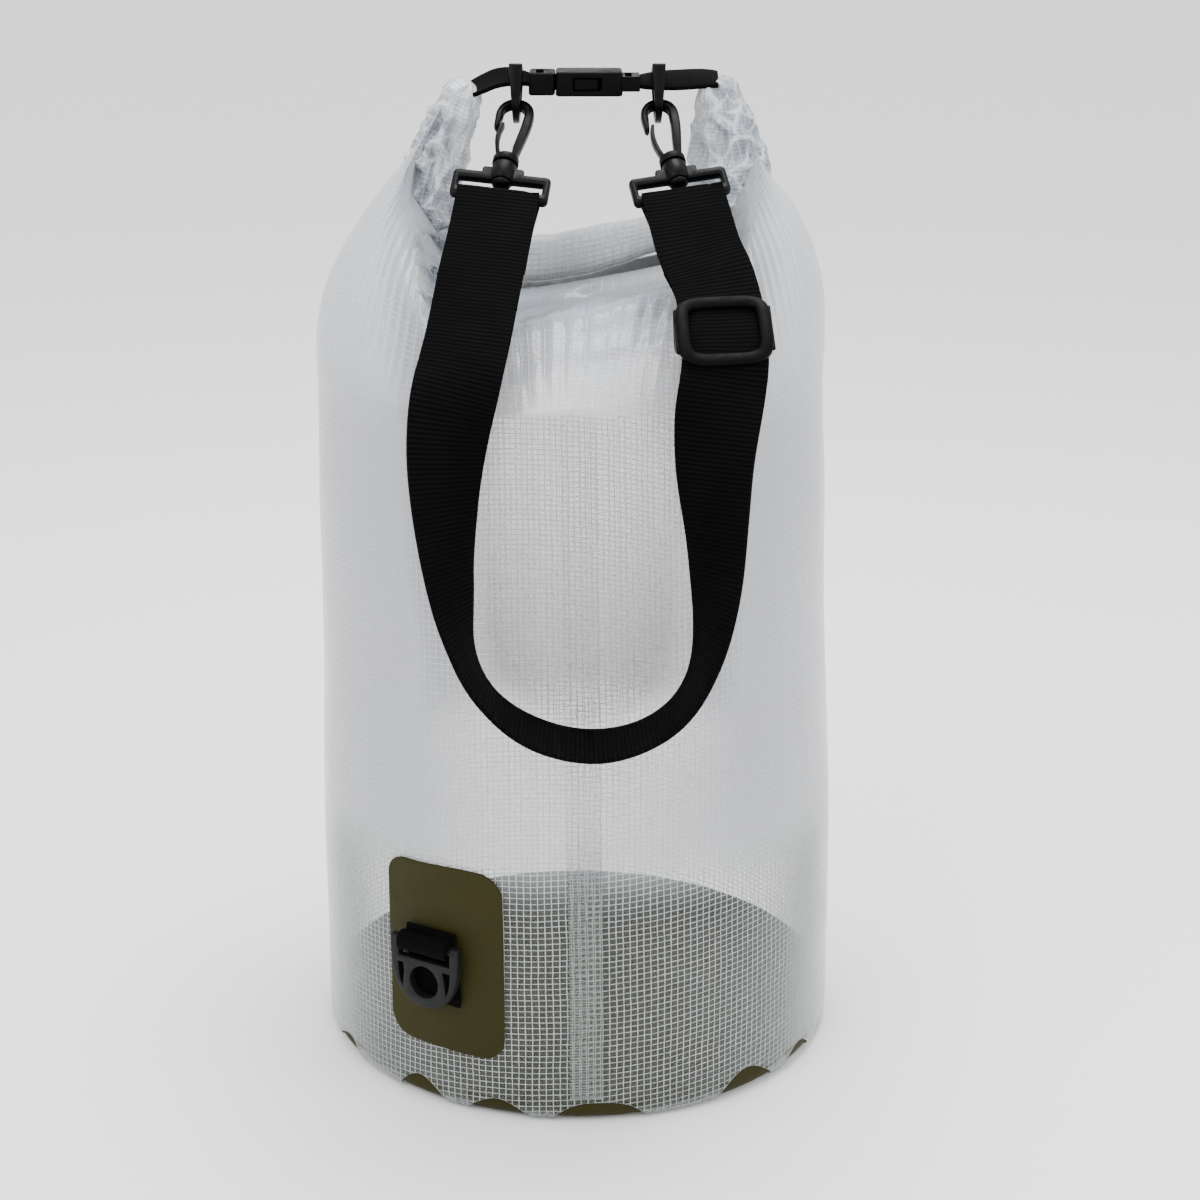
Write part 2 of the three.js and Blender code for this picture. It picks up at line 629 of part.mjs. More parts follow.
function addLug() {
  addPart("ring_patch", ringPatch(), "olive");
  const lug = new THREE.Group();
  lug.rotation.z = LUG.angle;
  addPart("patch_webbing", patchWebbing(), "webbing", lug);
  addPart("patch_ring", patchRing(), "plastic", lug);
  bag.add(lug);
}

addBag();
addClosure();
addShoulderStrap();
addLug();

export default bag;
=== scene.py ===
import math

import bpy
from mathutils import Euler, Matrix, Vector, noise


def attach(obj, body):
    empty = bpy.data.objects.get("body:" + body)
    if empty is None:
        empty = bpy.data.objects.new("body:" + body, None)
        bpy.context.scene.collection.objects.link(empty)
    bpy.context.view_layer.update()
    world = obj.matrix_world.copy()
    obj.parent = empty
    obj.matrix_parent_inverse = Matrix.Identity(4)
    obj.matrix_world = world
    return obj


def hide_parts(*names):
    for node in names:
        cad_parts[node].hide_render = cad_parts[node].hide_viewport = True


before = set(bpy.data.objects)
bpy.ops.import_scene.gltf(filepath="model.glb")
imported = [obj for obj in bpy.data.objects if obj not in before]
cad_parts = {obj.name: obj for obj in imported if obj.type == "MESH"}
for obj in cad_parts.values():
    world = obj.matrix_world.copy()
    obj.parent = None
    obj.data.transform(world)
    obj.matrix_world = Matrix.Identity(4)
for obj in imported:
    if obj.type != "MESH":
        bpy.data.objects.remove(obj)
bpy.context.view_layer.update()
mm = 0.001


# Small helpers for pieces.

def clearSelection():
    if bpy.context.mode != "OBJECT":
        bpy.ops.object.mode_set(mode="OBJECT")
    bpy.ops.object.select_all(action="DESELECT")


def makeActive(piece):
    clearSelection()
    piece.select_set(True)
    bpy.context.view_layer.objects.active = piece


def bake(piece, kind, **settings):
    makeActive(piece)
    modifier = piece.modifiers.new(kind.lower(), kind)
    for key, setting in settings.items():
        setattr(modifier, key, setting)
    bpy.ops.object.modifier_apply(modifier=modifier.name)


def roundEdges(piece, width, degrees):
    bake(piece, "BEVEL", width=width, segments=2, limit_method="ANGLE", angle_limit=math.radians(degrees))


def smooth(piece, degrees=40):
    makeActive(piece)
    bpy.ops.object.shade_smooth_by_angle(angle=math.radians(degrees))


def smoothAll(piece):
    makeActive(piece)
    bpy.ops.object.shade_smooth()


def dress(piece, *materials):
    piece.data.materials.clear()
    for material in materials:
        piece.data.materials.append(material)


def hang(piece, body, stoodFor, slot):
    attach(piece, body)
    if stoodFor:
        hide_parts(*stoodFor)
    return piece


def blendValue(a, b, share):
    return a + (b - a) * share


def ease(low, high, x):
    share = min(max((x - low) / (high - low), 0), 1)
    return share * share * (3 - 2 * share)


# A flat grid laid out over a surface: put(u, v) gives the point and its place on the cloth in metres.
def drapeGrid(name, columns, rows, put):
    clearSelection()
    bpy.ops.mesh.primitive_grid_add(x_subdivisions=columns, y_subdivisions=rows, size=2)
    piece = bpy.context.object
    piece.name = name
    mesh = piece.data
    placed = [put((v.co.x + 1) / 2, (v.co.y + 1) / 2) for v in mesh.vertices]
    cloth = mesh.uv_layers.active or mesh.uv_layers.new(name="UVMap")
    cloth.name = "cloth"
    for loop in mesh.loops:
        cloth.data[loop.index].uv = placed[loop.vertex_index][1]
    for vertex, (point, _) in zip(mesh.vertices, placed):
        vertex.co = point
    return piece


def weld(piece, distance=0.00002):
    makeActive(piece)
    bpy.ops.object.mode_set(mode="EDIT")
    bpy.ops.mesh.select_all(action="SELECT")
    bpy.ops.mesh.remove_doubles(threshold=distance)
    bpy.ops.mesh.normals_make_consistent(inside=False)
    bpy.ops.object.mode_set(mode="OBJECT")


# A point on the smooth line through points, with share running from 0 to 1 over equal steps.
def alongLine(points, share):
    last = len(points) - 1
    at = min(max(share, 0), 1) * last
    k = min(int(at), last - 1)
    t = at - k
    p0, p1, p2, p3 = (Vector(points[min(max(k + i, 0), last)]) for i in (-1, 0, 1, 2))
    return 0.5 * (2 * p1 + (p2 - p0) * t + (2 * p0 - 5 * p1 + 4 * p2 - p3) * t * t
                  + (3 * p1 - p0 - 3 * p2 + p3) * t * t * t)


# Helpers for shader trees.

def addNode(tree, kind, inputs=None, **settings):
    node = tree.nodes.new(kind)
    for key, setting in settings.items():
        setattr(node, key, setting)
    for key, given in (inputs or {}).items():
        socket = node.inputs[key]
        if isinstance(given, bpy.types.NodeSocket):
            tree.links.new(given, socket)
        else:
            socket.default_value = given
    return node


def calc(tree, operation, a, b=0.0, clamp=False):
    return addNode(tree, "ShaderNodeMath", {0: a, 1: b}, operation=operation, use_clamp=clamp).outputs[0]


def times(tree, a, b, clamp=False):
    return calc(tree, "MULTIPLY", a, b, clamp)


def plus(tree, a, b, clamp=False):
    return calc(tree, "ADD", a, b, clamp)


# What a share leaves of 1.
def rest(tree, share, clamp=False):
    return calc(tree, "SUBTRACT", 1.0, share, clamp)


def partAlong(tree, vector, axis):
    return addNode(tree, "ShaderNodeSeparateXYZ", {0: vector}).outputs[axis]


def mixColour(tree, share, a, b, blend="MIX"):
    node = addNode(tree, "ShaderNodeMix", {0: share, 6: a, 7: b}, data_type="RGBA", blend_type=blend)
    return node.outputs[2]


def ramp(tree, x, fromLow, fromHigh, toLow=0.0, toHigh=1.0, soft=True):
    kind = "SMOOTHSTEP" if soft else "LINEAR"
    node = addNode(tree, "ShaderNodeMapRange", {0: x, 1: fromLow, 2: fromHigh, 3: toLow, 4: toHigh},
                   interpolation_type=kind)
    return node.outputs[0]


def cloudy(tree, vector, scale, detail=3.0, rough=0.55):
    return addNode(tree, "ShaderNodeTexNoise", {"Vector": vector, "Scale": scale, "Detail": detail,
                                                "Roughness": rough}).outputs["Fac"]


def newGroup(name, inputs, outputs):
    group = bpy.data.node_groups.new(name, "ShaderNodeTree")
    for label, kind, default in inputs:
        socket = group.interface.new_socket(name=label, in_out="INPUT", socket_type=kind)
        if default is not None:
            socket.default_value = default
    for label in outputs:
        group.interface.new_socket(name=label, in_out="OUTPUT", socket_type="NodeSocketFloat")
    return group, group.nodes.new("NodeGroupInput"), group.nodes.new("NodeGroupOutput")


def useGroup(tree, group, inputs):
    return addNode(tree, "ShaderNodeGroup", inputs, node_tree=group)


def newMaterial(name, settings):
    material = bpy.data.materials.new(name)
    material.use_nodes = True
    tree = material.node_tree
    shader = tree.nodes["Principled BSDF"]
    for key, setting in settings.items():
        shader.inputs[key].default_value = setting
    return material, tree, shader


def cloth(tree):
    return addNode(tree, "ShaderNodeUVMap", uv_map="cloth").outputs[0]


def inPlace(tree):
    return addNode(tree, "ShaderNodeTexCoord").outputs["Object"]


def bumpInto(tree, shader, height, strength, distance):
    bump = addNode(tree, "ShaderNodeBump", {"Height": height, "Strength": strength, "Distance": distance})
    tree.links.new(bump.outputs[0], shader.inputs["Normal"])


# Effects that several materials share.

# White yarns laid in a square net: cells is the place on the cloth, one unit to a square.
def makeScrimGroup():
    group, given, result = newGroup(
        "scrimNet",
        [("Cells", "NodeSocketVector", None), ("Yarn Width", "NodeSocketFloat", 0.3),
         ("Wander", "NodeSocketFloat", 0.12)],
        ["Yarn", "Height"])
    drift = addNode(group, "ShaderNodeTexNoise",
                    {"Vector": given.outputs["Cells"], "Scale": 0.11, "Detail": 2.0})
    centred = addNode(group, "ShaderNodeVectorMath", {0: drift.outputs["Color"], 1: (0.5, 0.5, 0.5)},
                      operation="SUBTRACT").outputs[0]
    scaled = addNode(group, "ShaderNodeVectorMath", {0: centred, "Scale": given.outputs["Wander"]},
                     operation="SCALE").outputs[0]
    moved = addNode(group, "ShaderNodeVectorMath", {0: given.outputs["Cells"], 1: scaled}, operation="ADD")
    uneven = cloudy(group, given.outputs["Cells"], 0.9, 2.0)
    half = times(group, given.outputs["Yarn Width"], ramp(group, uneven, 0.3, 0.7, 0.38, 0.62))
    yarns = []
    for axis in ("X", "Y"):
        away = calc(group, "PINGPONG", plus(group, partAlong(group, moved.outputs[0], axis), 1000.0), 0.5)
        yarns.append(rest(group, calc(group, "DIVIDE", away, half), clamp=True))
    height = calc(group, "MAXIMUM", yarns[0], yarns[1])
    group.links.new(ramp(group, height, 0.0, 0.45), result.inputs["Yarn"])
    group.links.new(height, result.inputs["Height"])
    return group


# Ribbed webbing: ribs run across the band, each a row of small twisted picks. Besides the height it gives a
# painted shading mask, lighter on the rib crowns.
def makeRibGroup():
    group, given, result = newGroup(
        "webbingRibs",
        [("Strip", "NodeSocketVector", None), ("Rib", "NodeSocketFloat", 0.0019),
         ("Pick", "NodeSocketFloat", 0.0011)],
        ["Height", "Rib Shading"])
    along = calc(group, "DIVIDE", partAlong(group, given.outputs["Strip"], "Y"), given.outputs["Rib"])
    across = calc(group, "DIVIDE", partAlong(group, given.outputs["Strip"], "X"), given.outputs["Pick"])
    crown = times(group, calc(group, "PINGPONG", plus(group, along, 1000.0), 0.5), 2.0)
    row = times(group, calc(group, "FLOOR", along), 0.5)
    pick = calc(group, "PINGPONG", plus(group, plus(group, across, row), 1000.0), 0.5)
    fuzz = cloudy(group, given.outputs["Strip"], 1500.0, 2.0)
    height = plus(group, calc(group, "POWER", crown, 0.6), times(group, pick, 0.35))
    group.links.new(plus(group, height, times(group, fuzz, 0.25)), result.inputs["Height"])
    # painted shading mask: lighter on the rib crowns, darker in the grooves between them
    group.links.new(times(group, crown, ramp(group, pick, 0.05, 0.4, 0.55, 1.0)),
                    result.inputs["Rib Shading"])
    return group


# Fine moulded or coated grain with faint handling marks.
def makeGrainGroup():
    group, given, result = newGroup(
        "surfaceGrain",
        [("Point", "NodeSocketVector", None), ("Grain Scale", "NodeSocketFloat", 900.0),
         ("Mark Scale", "NodeSocketFloat", 60.0)],
        ["Grain", "Marks"])
    fine = cloudy(group, given.outputs["Point"], given.outputs["Grain Scale"], 2.0)
    marks = cloudy(group, given.outputs["Point"], given.outputs["Mark Scale"], 6.0, 0.7)
    group.links.new(fine, result.inputs["Grain"])
    group.links.new(ramp(group, marks, 0.38, 0.68), result.inputs["Marks"])
    return group


# Creases of crushed film: thin ridges between facets.
def makeCreaseGroup():
    group, given, result = newGroup(
        "crushedCreases",
        [("Point", "NodeSocketVector", None), ("Size", "NodeSocketFloat", 70.0)],
        ["Facet", "Ridge"])
    bend = addNode(group, "ShaderNodeTexNoise",
                   {"Vector": given.outputs["Point"], "Scale": 40.0, "Detail": 2.0})
    shifted = addNode(group, "ShaderNodeVectorMath", {0: bend.outputs["Color"], "Scale": 0.02},
                      operation="SCALE").outputs[0]
    moved = addNode(group, "ShaderNodeVectorMath", {0: given.outputs["Point"], 1: shifted}, operation="ADD")
    facets = {"Vector": moved.outputs[0], "Scale": given.outputs["Size"]}
    cells = addNode(group, "ShaderNodeTexVoronoi", facets, feature="F1")
    edges = addNode(group, "ShaderNodeTexVoronoi", facets, feature="DISTANCE_TO_EDGE")
    group.links.new(cells.outputs["Distance"], result.inputs["Facet"])
    group.links.new(ramp(group, edges.outputs["Distance"], 0.0, 0.12, 1.0, 0.0), result.inputs["Ridge"])
    return group


scrimNet = makeScrimGroup()
webbingRibs = makeRibGroup()
surfaceGrain = makeGrainGroup()
crushedCreases = makeCreaseGroup()

# Materials.

film = {
    "squaresAcross": 1 / 0.00305,  # squares in a metre round the bag
    "squaresUp": 1 / 0.00265,
    "yarnWidth": 0.205,
    "wander": 0.5,  # how unevenly the yarns lie
    "yarnOpacity": 0.78,
    "haze": 0.27,  # opacity of the clear film seen square on
    "lowHaze": 0.045,  # and near the base, where it is stretched smooth
    "mist": 0.26,  # what the cloudy band above the base adds
    "milk": 0.35,  # what the flanks add, away from the middle
    "milkHides": 0.85,  # and how much of the net they hide
    "edgeOn": 4.6,  # how fast the haze closes as the film turns away
    "lowEdgeOn": 2.6,
    "pale": (0.355, 0.362, 0.385, 1),
    "yarnPale": (0.47, 0.475, 0.49, 1),
    # painted cool reflection, tinting the upper folds
    "reflectionBlue": (0.33, 0.37, 0.44, 1),
    "shade": (0.085, 0.105, 0.14, 1),
    "shoulderPale": (0.50, 0.52, 0.555, 1),
    # painted inner shade near the base, tinted by the olive base seen through the film
    "lowShadedSheet": (0.25, 0.285, 0.265, 1),
    "lowShadedYarn": (0.355, 0.385, 0.37, 1),
}


def filmCells(tree):
    scaled = addNode(tree, "ShaderNodeMapping", {"Vector": cloth(tree)}, vector_type="POINT")
    scaled.inputs["Scale"].default_value = (film["squaresAcross"], film["squaresUp"], 1)
    return scaled.outputs[0]


# How opaque the film is as it turns from square on to edge on.
def filmHaze(tree, amount, closing):
    facing = addNode(tree, "ShaderNodeLayerWeight", {"Blend": 0.5}).outputs["Facing"]
    squareOn = calc(tree, "MAXIMUM", rest(tree, facing), 0.12)
    depth = calc(tree, "POWER", squareOn, -closing)
    return rest(tree, calc(tree, "POWER", 1.0 - amount, depth), clamp=True)


# 1 in the hollow beside each fold at the neck, 0 away from them.
def foldShade(tree, point):
    near = []
    for place in ((-0.058, -0.03, 0.368), (0.062, -0.03, 0.376)):
        away = addNode(tree, "ShaderNodeVectorMath", {0: point, 1: place}, operation="DISTANCE")
        near.append(ramp(tree, away.outputs["Value"], 0.009, 0.026, 1.0, 0.0))
    return calc(tree, "MAXIMUM", near[0], near[1])


# One sheet of film. Its tint share sets how strongly a painted cool reflection tints its upper folds, and
# upperShare fades the whole sheet above the base.
def makeFilmMaterial(name, haze, lowHaze, yarnOpacity, roughness=0.24, reflectionTintShare=1.0, upperShare=1.0):
    material, tree, shader = newMaterial(name, {
        "Roughness": roughness, "Specular IOR Level": 0.3, "Coat Weight": 0.3, "Coat Roughness": 0.1})
    net = useGroup(tree, scrimNet, {"Cells": filmCells(tree), "Yarn Width": film["yarnWidth"],
                                    "Wander": film["wander"]})
    point = inPlace(tree)
    height = partAlong(tree, point, "Z")
    out = calc(tree, "ABSOLUTE", partAlong(tree, point, "X"))
    up = ramp(tree, height, 0.092, 0.128)
    milky = times(tree, ramp(tree, out, 0.058, 0.088), up)

    # the sheet's colour, with a painted cool reflection in its upper folds, painted shade in the hollows
    # beside the neck folds, and paler on the shoulders
    # painted reflection: a cool blue tint in patches above the top of the side
    reflectionMask = times(tree, ramp(tree, height, 0.30, 0.36, 0.15, reflectionTintShare),
                     ramp(tree, cloudy(tree, point, 22.0, 3.0), 0.35, 0.65))
    reflectionTinted = mixColour(tree, reflectionMask, film["pale"], film["reflectionBlue"])
    # painted shade: darkens the film in the hollow beside each neck fold
    shaded = times(tree, foldShade(tree, point),
                   ramp(tree, cloudy(tree, point, 130.0, 3.0), 0.3, 0.6, 1, 0.3))
    shoulder = times(tree, milky, ramp(tree, height, 0.295, 0.34, 0.0, 0.8))
    sheet = mixColour(tree, shoulder, mixColour(tree, shaded, reflectionTinted, film["shade"]), film["shoulderPale"])
    # near the base the film is painted darker and greener: painted inner shade tinted by the olive base
    sheet = mixColour(tree, up, film["lowShadedSheet"], sheet)

    # the net over it, which fades as the film turns away
    turned = addNode(tree, "ShaderNodeLayerWeight", {"Blend": 0.5}).outputs["Facing"]
    clearNet = times(tree, ramp(tree, turned, 0.25, 0.7, 1.0, 0.2),
                     rest(tree, times(tree, milky, film["milkHides"])))
    shown = times(tree, net.outputs["Yarn"], clearNet)
    # the yarns are also painted darker and greener near the base
    yarn = mixColour(tree, up, film["lowShadedYarn"], film["yarnPale"])
    tree.links.new(mixColour(tree, shown, sheet, yarn), shader.inputs["Base Color"])

    # how much of what is behind shows through
    clouding = ramp(tree, cloudy(tree, point, 9.0, 4.0), 0.3, 0.7, 0.9, 1.1)
    mist = film["mist"] if haze > 0.1 else 0.0
    band = times(tree, up, ramp(tree, height, 0.14, 0.25, mist, 0.0))
    hazeUp = plus(tree, times(tree, filmHaze(tree, haze, film["edgeOn"]), clouding, clamp=True), band)
    hazeUp = plus(tree, hazeUp, times(tree, milky, film["milk"]), clamp=True)
    hazeLow = times(tree, filmHaze(tree, lowHaze, film["lowEdgeOn"]), clouding, clamp=True)
    spread = plus(tree, times(tree, hazeUp, up), times(tree, hazeLow, rest(tree, up)))
    # the painted shade also makes the film more opaque in those hollows
    hazeHere = plus(tree, spread, times(tree, shaded, 0.5), clamp=True)
    through = rest(tree, times(tree, net.outputs["Yarn"], yarnOpacity))
    whole = rest(tree, times(tree, rest(tree, hazeHere), through))
    shownHere = times(tree, whole, ramp(tree, height, 0.1, 0.15, 1.0, upperShare))
    tree.links.new(shownHere, shader.inputs["Alpha"])
    tree.links.new(ramp(tree, cloudy(tree, point, 30.0, 5.0), 0.3, 0.7, roughness - 0.06, roughness + 0.1),
                   shader.inputs["Roughness"])
    bumpInto(tree, shader, net.outputs["Height"], 0.55, 0.0004)
    return material


def makeInnerFilm():
    material, tree, shader = newMaterial("filmInnerFace", {
        "Roughness": 0.3, "Specular IOR Level": 0.2, "Base Color": film["pale"]})
    mottled = ramp(tree, cloudy(tree, inPlace(tree), 14.0, 4.0), 0.3, 0.7, 0.8, 1.15)
    tree.links.new(times(tree, filmHaze(tree, 0.05, 3.0), mottled, clamp=True), shader.inputs["Alpha"])
    tree.links.new(ramp(tree, mottled, 0.8, 1.15, 0.24, 0.36), shader.inputs["Roughness"])
    return material


# Several plies of the film, crushed together.
def makeRolledFilm():
    material, tree, shader = newMaterial("rolledFilm", {
        "Roughness": 0.3, "Coat Weight": 0.35, "Coat Roughness": 0.16})
    point = inPlace(tree)
    net = useGroup(tree, scrimNet, {"Cells": filmCells(tree), "Yarn Width": 0.34, "Wander": 0.9})
    under = addNode(tree, "ShaderNodeMapping", {"Vector": filmCells(tree)})
    under.inputs["Rotation"].default_value = (0, 0, 0.16)
    under.inputs["Scale"].default_value = (1.1, 1.05, 1)
    second = useGroup(tree, scrimNet, {"Cells": under.outputs[0], "Yarn Width": 0.3, "Wander": 1.2})
    creases = useGroup(tree, crushedCreases, {"Point": point, "Size": 85.0})
    out = calc(tree, "ABSOLUTE", partAlong(tree, point, "X"))
    inEar = ramp(tree, out, 0.045, 0.066)
    depth = ramp(tree, cloudy(tree, point, 55.0, 4.0), 0.36, 0.66)
    # painted shade: in the ears the noise darkens the crumpled film towards dark blue-grey in its hollows; in
    # the calm middle it only varies the tone
    hollow = mixColour(tree, depth, (0.12, 0.15, 0.20, 1), (0.41, 0.45, 0.50, 1))
    calm = mixColour(tree, depth, (0.44, 0.46, 0.495, 1), (0.54, 0.555, 0.58, 1))
    body = mixColour(tree, inEar, calm, hollow)
    # painted shadow: the ply beneath shows as dark lines, the shade between the plies
    underShadowShare = times(tree, second.outputs["Yarn"], ramp(tree, inEar, 0, 1, 0.22, 0.75))
    shadowLined = mixColour(tree, underShadowShare, body, (0.17, 0.20, 0.25, 1))
    yarnShare = times(tree, net.outputs["Yarn"], ramp(tree, inEar, 0, 1, 0.45, 0.5))
    colour = mixColour(tree, yarnShare, shadowLined, film["yarnPale"])
    # painted highlights along the crease ridges of the ears
    ridgeHighlightShare = times(tree, creases.outputs["Ridge"], ramp(tree, inEar, 0, 1, 0.04, 0.5))
    ridgeHighlighted = mixColour(tree, ridgeHighlightShare, colour, (0.76, 0.79, 0.82, 1))
    tree.links.new(ridgeHighlighted, shader.inputs["Base Color"])
    tree.links.new(ramp(tree, depth, 0.0, 1.0, 0.38, 0.22), shader.inputs["Roughness"])
    crush = times(tree, creases.outputs["Facet"], ramp(tree, inEar, 0, 1, 0.3, 1.6))
    height = plus(tree, crush, times(tree, net.outputs["Height"], 0.25))
    bumpInto(tree, shader, height, 0.6, 0.0022)
    return material


def makeTarpaulin():
    material, tree, shader = newMaterial("oliveTarpaulin", {"Roughness": 0.62, "Specular IOR Level": 0.11})
    point = inPlace(tree)
    grain = useGroup(tree, surfaceGrain, {"Point": point, "Grain Scale": 1400.0, "Mark Scale": 38.0})
    threads = addNode(tree, "ShaderNodeVectorMath", {0: point, "Scale": 900.0}, operation="SCALE")
    weave = useGroup(tree, scrimNet, {"Cells": threads.outputs[0], "Yarn Width": 0.8, "Wander": 0.6})
    tone = mixColour(tree, ramp(tree, cloudy(tree, point, 16.0, 4.0), 0.3, 0.7),
                     (0.0168, 0.0152, 0.0022, 1), (0.0205, 0.0187, 0.0031, 1))
    wear = times(tree, grain.outputs["Marks"], 0.22)
    rubbed = mixColour(tree, wear, tone, (0.027, 0.025, 0.0065, 1))
    tree.links.new(rubbed, shader.inputs["Base Color"])
    tree.links.new(ramp(tree, grain.outputs["Marks"], 0, 1, 0.58, 0.72), shader.inputs["Roughness"])
    height = plus(tree, times(tree, weave.outputs["Height"], 0.4), grain.outputs["Grain"])
    bumpInto(tree, shader, height, 0.18, 0.0003)
    return material


def makeWebbing(name, rib, pick, black, crownHighlightGrey, strength):
    material, tree, shader = newMaterial(name, {"Roughness": 0.86, "Specular IOR Level": 0.04})
    strip = cloth(tree)
    ribs = useGroup(tree, webbingRibs, {"Strip": strip, "Rib": rib, "Pick": pick})
    patchy = ramp(tree, cloudy(tree, inPlace(tree), 45.0, 4.0), 0.3, 0.7, 0.75, 1.15)
    crown = times(tree, ribs.outputs["Rib Shading"], patchy, clamp=True)
    # painted shading: lighter grey on the rib crowns as a painted highlight, black in the grooves as painted
    # shade
    tree.links.new(mixColour(tree, crown, black, crownHighlightGrey), shader.inputs["Base Color"])
    tree.links.new(ramp(tree, crown, 0, 1, 0.92, 0.78), shader.inputs["Roughness"])
    bumpInto(tree, shader, ribs.outputs["Height"], strength, 0.0006)
    return material


def makePlastic(name, deep, worn, roughness, gloss=0.12):
    material, tree, shader = newMaterial(name, {"Roughness": roughness, "Specular IOR Level": gloss})
    grain = useGroup(tree, surfaceGrain, {"Point": inPlace(tree), "Grain Scale": 1800.0, "Mark Scale": 120.0})
    tree.links.new(mixColour(tree, times(tree, grain.outputs["Marks"], 0.5), deep, worn),
                   shader.inputs["Base Color"])
    tree.links.new(ramp(tree, grain.outputs["Marks"], 0, 1, roughness - 0.05, roughness + 0.09),
                   shader.inputs["Roughness"])
    bumpInto(tree, shader, grain.outputs["Grain"], 0.16, 0.0002)
    return material


wallFilm = makeFilmMaterial("scrimFilm", film["haze"], film["lowHaze"], film["yarnOpacity"])
seamFilm = makeFilmMaterial("weldedSeamFilm", 0.04, 0.06, 0.42, 0.2, 1.0, 0.22)
innerFilm = makeInnerFilm()
rolledFilm = makeRolledFilm()
oliveTarpaulin = makeTarpaulin()
wideWebbing = makeWebbing("ribbedWebbing", 0.0019, 0.0012, (0.0004, 0.0004, 0.0005, 1),
                          (0.0028, 0.0028, 0.003, 1), 0.32)
narrowWebbing = makeWebbing("fineWebbing", 0.0011, 0.0008, (0.0005, 0.0005, 0.0006, 1),
                            (0.003, 0.003, 0.0032, 1), 0.35)
plasticBlack = (0.0008, 0.0008, 0.0009, 1)
hookPlastic = makePlastic("hookPlastic", plasticBlack, (0.0024, 0.0025, 0.0026, 1), 0.38, 0.09)
bucklePlastic = makePlastic("bucklePlastic", plasticBlack, (0.0026, 0.0026, 0.0028, 1), 0.5, 0.05)
lugPlastic = makePlastic("lugPlastic", (0.0052, 0.0054, 0.0058, 1), (0.0105, 0.0108, 0.0112, 1), 0.42)
print("materials made")

# The bag wall.

wall = {
    "base": 119 * mm, "waist": 114.9 * mm, "top": 113.5 * mm,
    "topAt": 314 * mm,
    "lean": 0.0134,  # how far the filled bag slumps to the left for each unit of height
    "hemFrom": 16 * mm,  # height where the tabs' own rings start
    "corner": 6 * mm, "tabReach": 11 * mm,
    "sheet": 0.6 * mm,
    "columns": 360, "hemRows": 14, "sideRows": 34, "shoulderRows": 62,
    "tilt": 23,  # squares the net climbs in one turn
}
# Where the welded tabs leave gaps: the middle of each, its half width in degrees, and its height.
notches = [
    (-36, 7.4, 10.5), (-17.4, 8.0, 8.4), (4.6, 11.2, 11), (39.6, 9.4, 11.5), (58, 7.5, 9), (79, 8, 9.5),
    (101, 8, 9), (122, 7, 9.5), (143, 8, 9), (165, 8.5, 9.5), (-174, 7, 9), (-152, 8, 9.5),
    (-130, 7.5, 9), (-108, 8, 9.5), (-86, 7, 9), (-63, 7.5, 9.5),
]


def inMiddlePlane(*places):
    return [(x, 0, z) for x, z in places]


# The line where the shoulder enters the roll, from the middle of the front to each end, in mm.
neckLeft = inMiddlePlane((0, 354), (-22, 351), (-43, 350.5), (-57, 354), (-61, 364), (-65, 378),
                         (-71, 392), (-71, 404), (-66, 416), (-60.5, 427), (-56, 434))
neckRight = inMiddlePlane((0, 354), (23, 358.5), (45, 363), (60, 365), (67, 368), (69, 378),
                          (70, 390), (74, 402), (75, 413), (70, 424), (64, 433))
# The side line of each shoulder at the fold, up to the end of the roll, in mm.
sideLeft = inMiddlePlane((-117, 314), (-117, 331), (-113.2, 350), (-105.4, 367.5), (-97, 382),
                         (-87.2, 396), (-74, 413), (-63.5, 430), (-58.5, 437))
sideRight = inMiddlePlane((110.2, 314), (110.5, 333), (109, 353), (103.4, 373), (94, 391),
                          (81.5, 406), (72, 422), (66, 434), (63, 439))


def wallRadius(z):
    return (wall["base"] - (wall["base"] - wall["waist"]) * ease(0.085, 0.235, z)
            + (wall["top"] - wall["waist"]) * ease(0.25, wall["topAt"], z))


def leanAt(z):
    return -wall["lean"] * max(min(z, wall["topAt"]) - 60 * mm, 0)


def round3d(turn, radius, z):
    return Vector((radius * math.sin(turn) + leanAt(z), -radius * math.cos(turn), z))


# How high the film's edge stands off the ground, an uneven arch in each gap, and how many degrees a tab
# is from the nearest gap.
def notchAt(turn):
    degrees = math.degrees(turn)
    clear = 180
    for middle, half, high in notches:
        away = (degrees - middle + 180) % 360 - 180
        x = away / half
        if abs(x) < 1:
            lean = 0.22 * math.sin(middle)
            return high * mm * (1 - abs(x) ** (2.1 + lean)) * (1 + 0.1 * math.sin(4 * x + middle)), 0
        clear = min(clear, abs(away) - half)
    return 0, clear


# The length down the film from hemFrom to a height above the ground.
def hemLength(high):
    straight = wall["hemFrom"] - wall["corner"]
    if high >= wall["corner"]:
        return wall["hemFrom"] - high
    return straight + wall["corner"] * math.asin(1 - high / wall["corner"])


# A point of the hem, down from hemFrom by a length: side, rounded corner, then under the base.
def hemPoint(turn, down):
    straight = wall["hemFrom"] - wall["corner"]
    if down <= straight:
        return round3d(turn, wall["base"], wall["hemFrom"] - down)
    bend = wall["corner"] * math.pi / 2
    if down <= straight + bend:
        a = (down - straight) / wall["corner"]
        inner = wall["base"] - wall["corner"]
        z = wall["corner"] * (1 - math.sin(a)) + 0.1 * mm
        return round3d(turn, inner + wall["corner"] * math.cos(a), z)
    return round3d(turn, wall["base"] - wall["corner"] - (down - straight - bend), 0.1 * mm)


def softWaves(point, amount):
    slow = noise.noise(point * 11) + 0.5 * noise.noise(point * 24 + Vector((3, 7, 1)))
    return amount * slow


# The side's small waves and creases, which the seam strip follows as well.
def sideSwell(point, z):
    fade = ease(0.02, 0.08, z) * (0.35 + 0.65 * ease(0.2, 0.31, z))
    return softWaves(point, 0.8 * mm) * fade + creaseDepth(point)


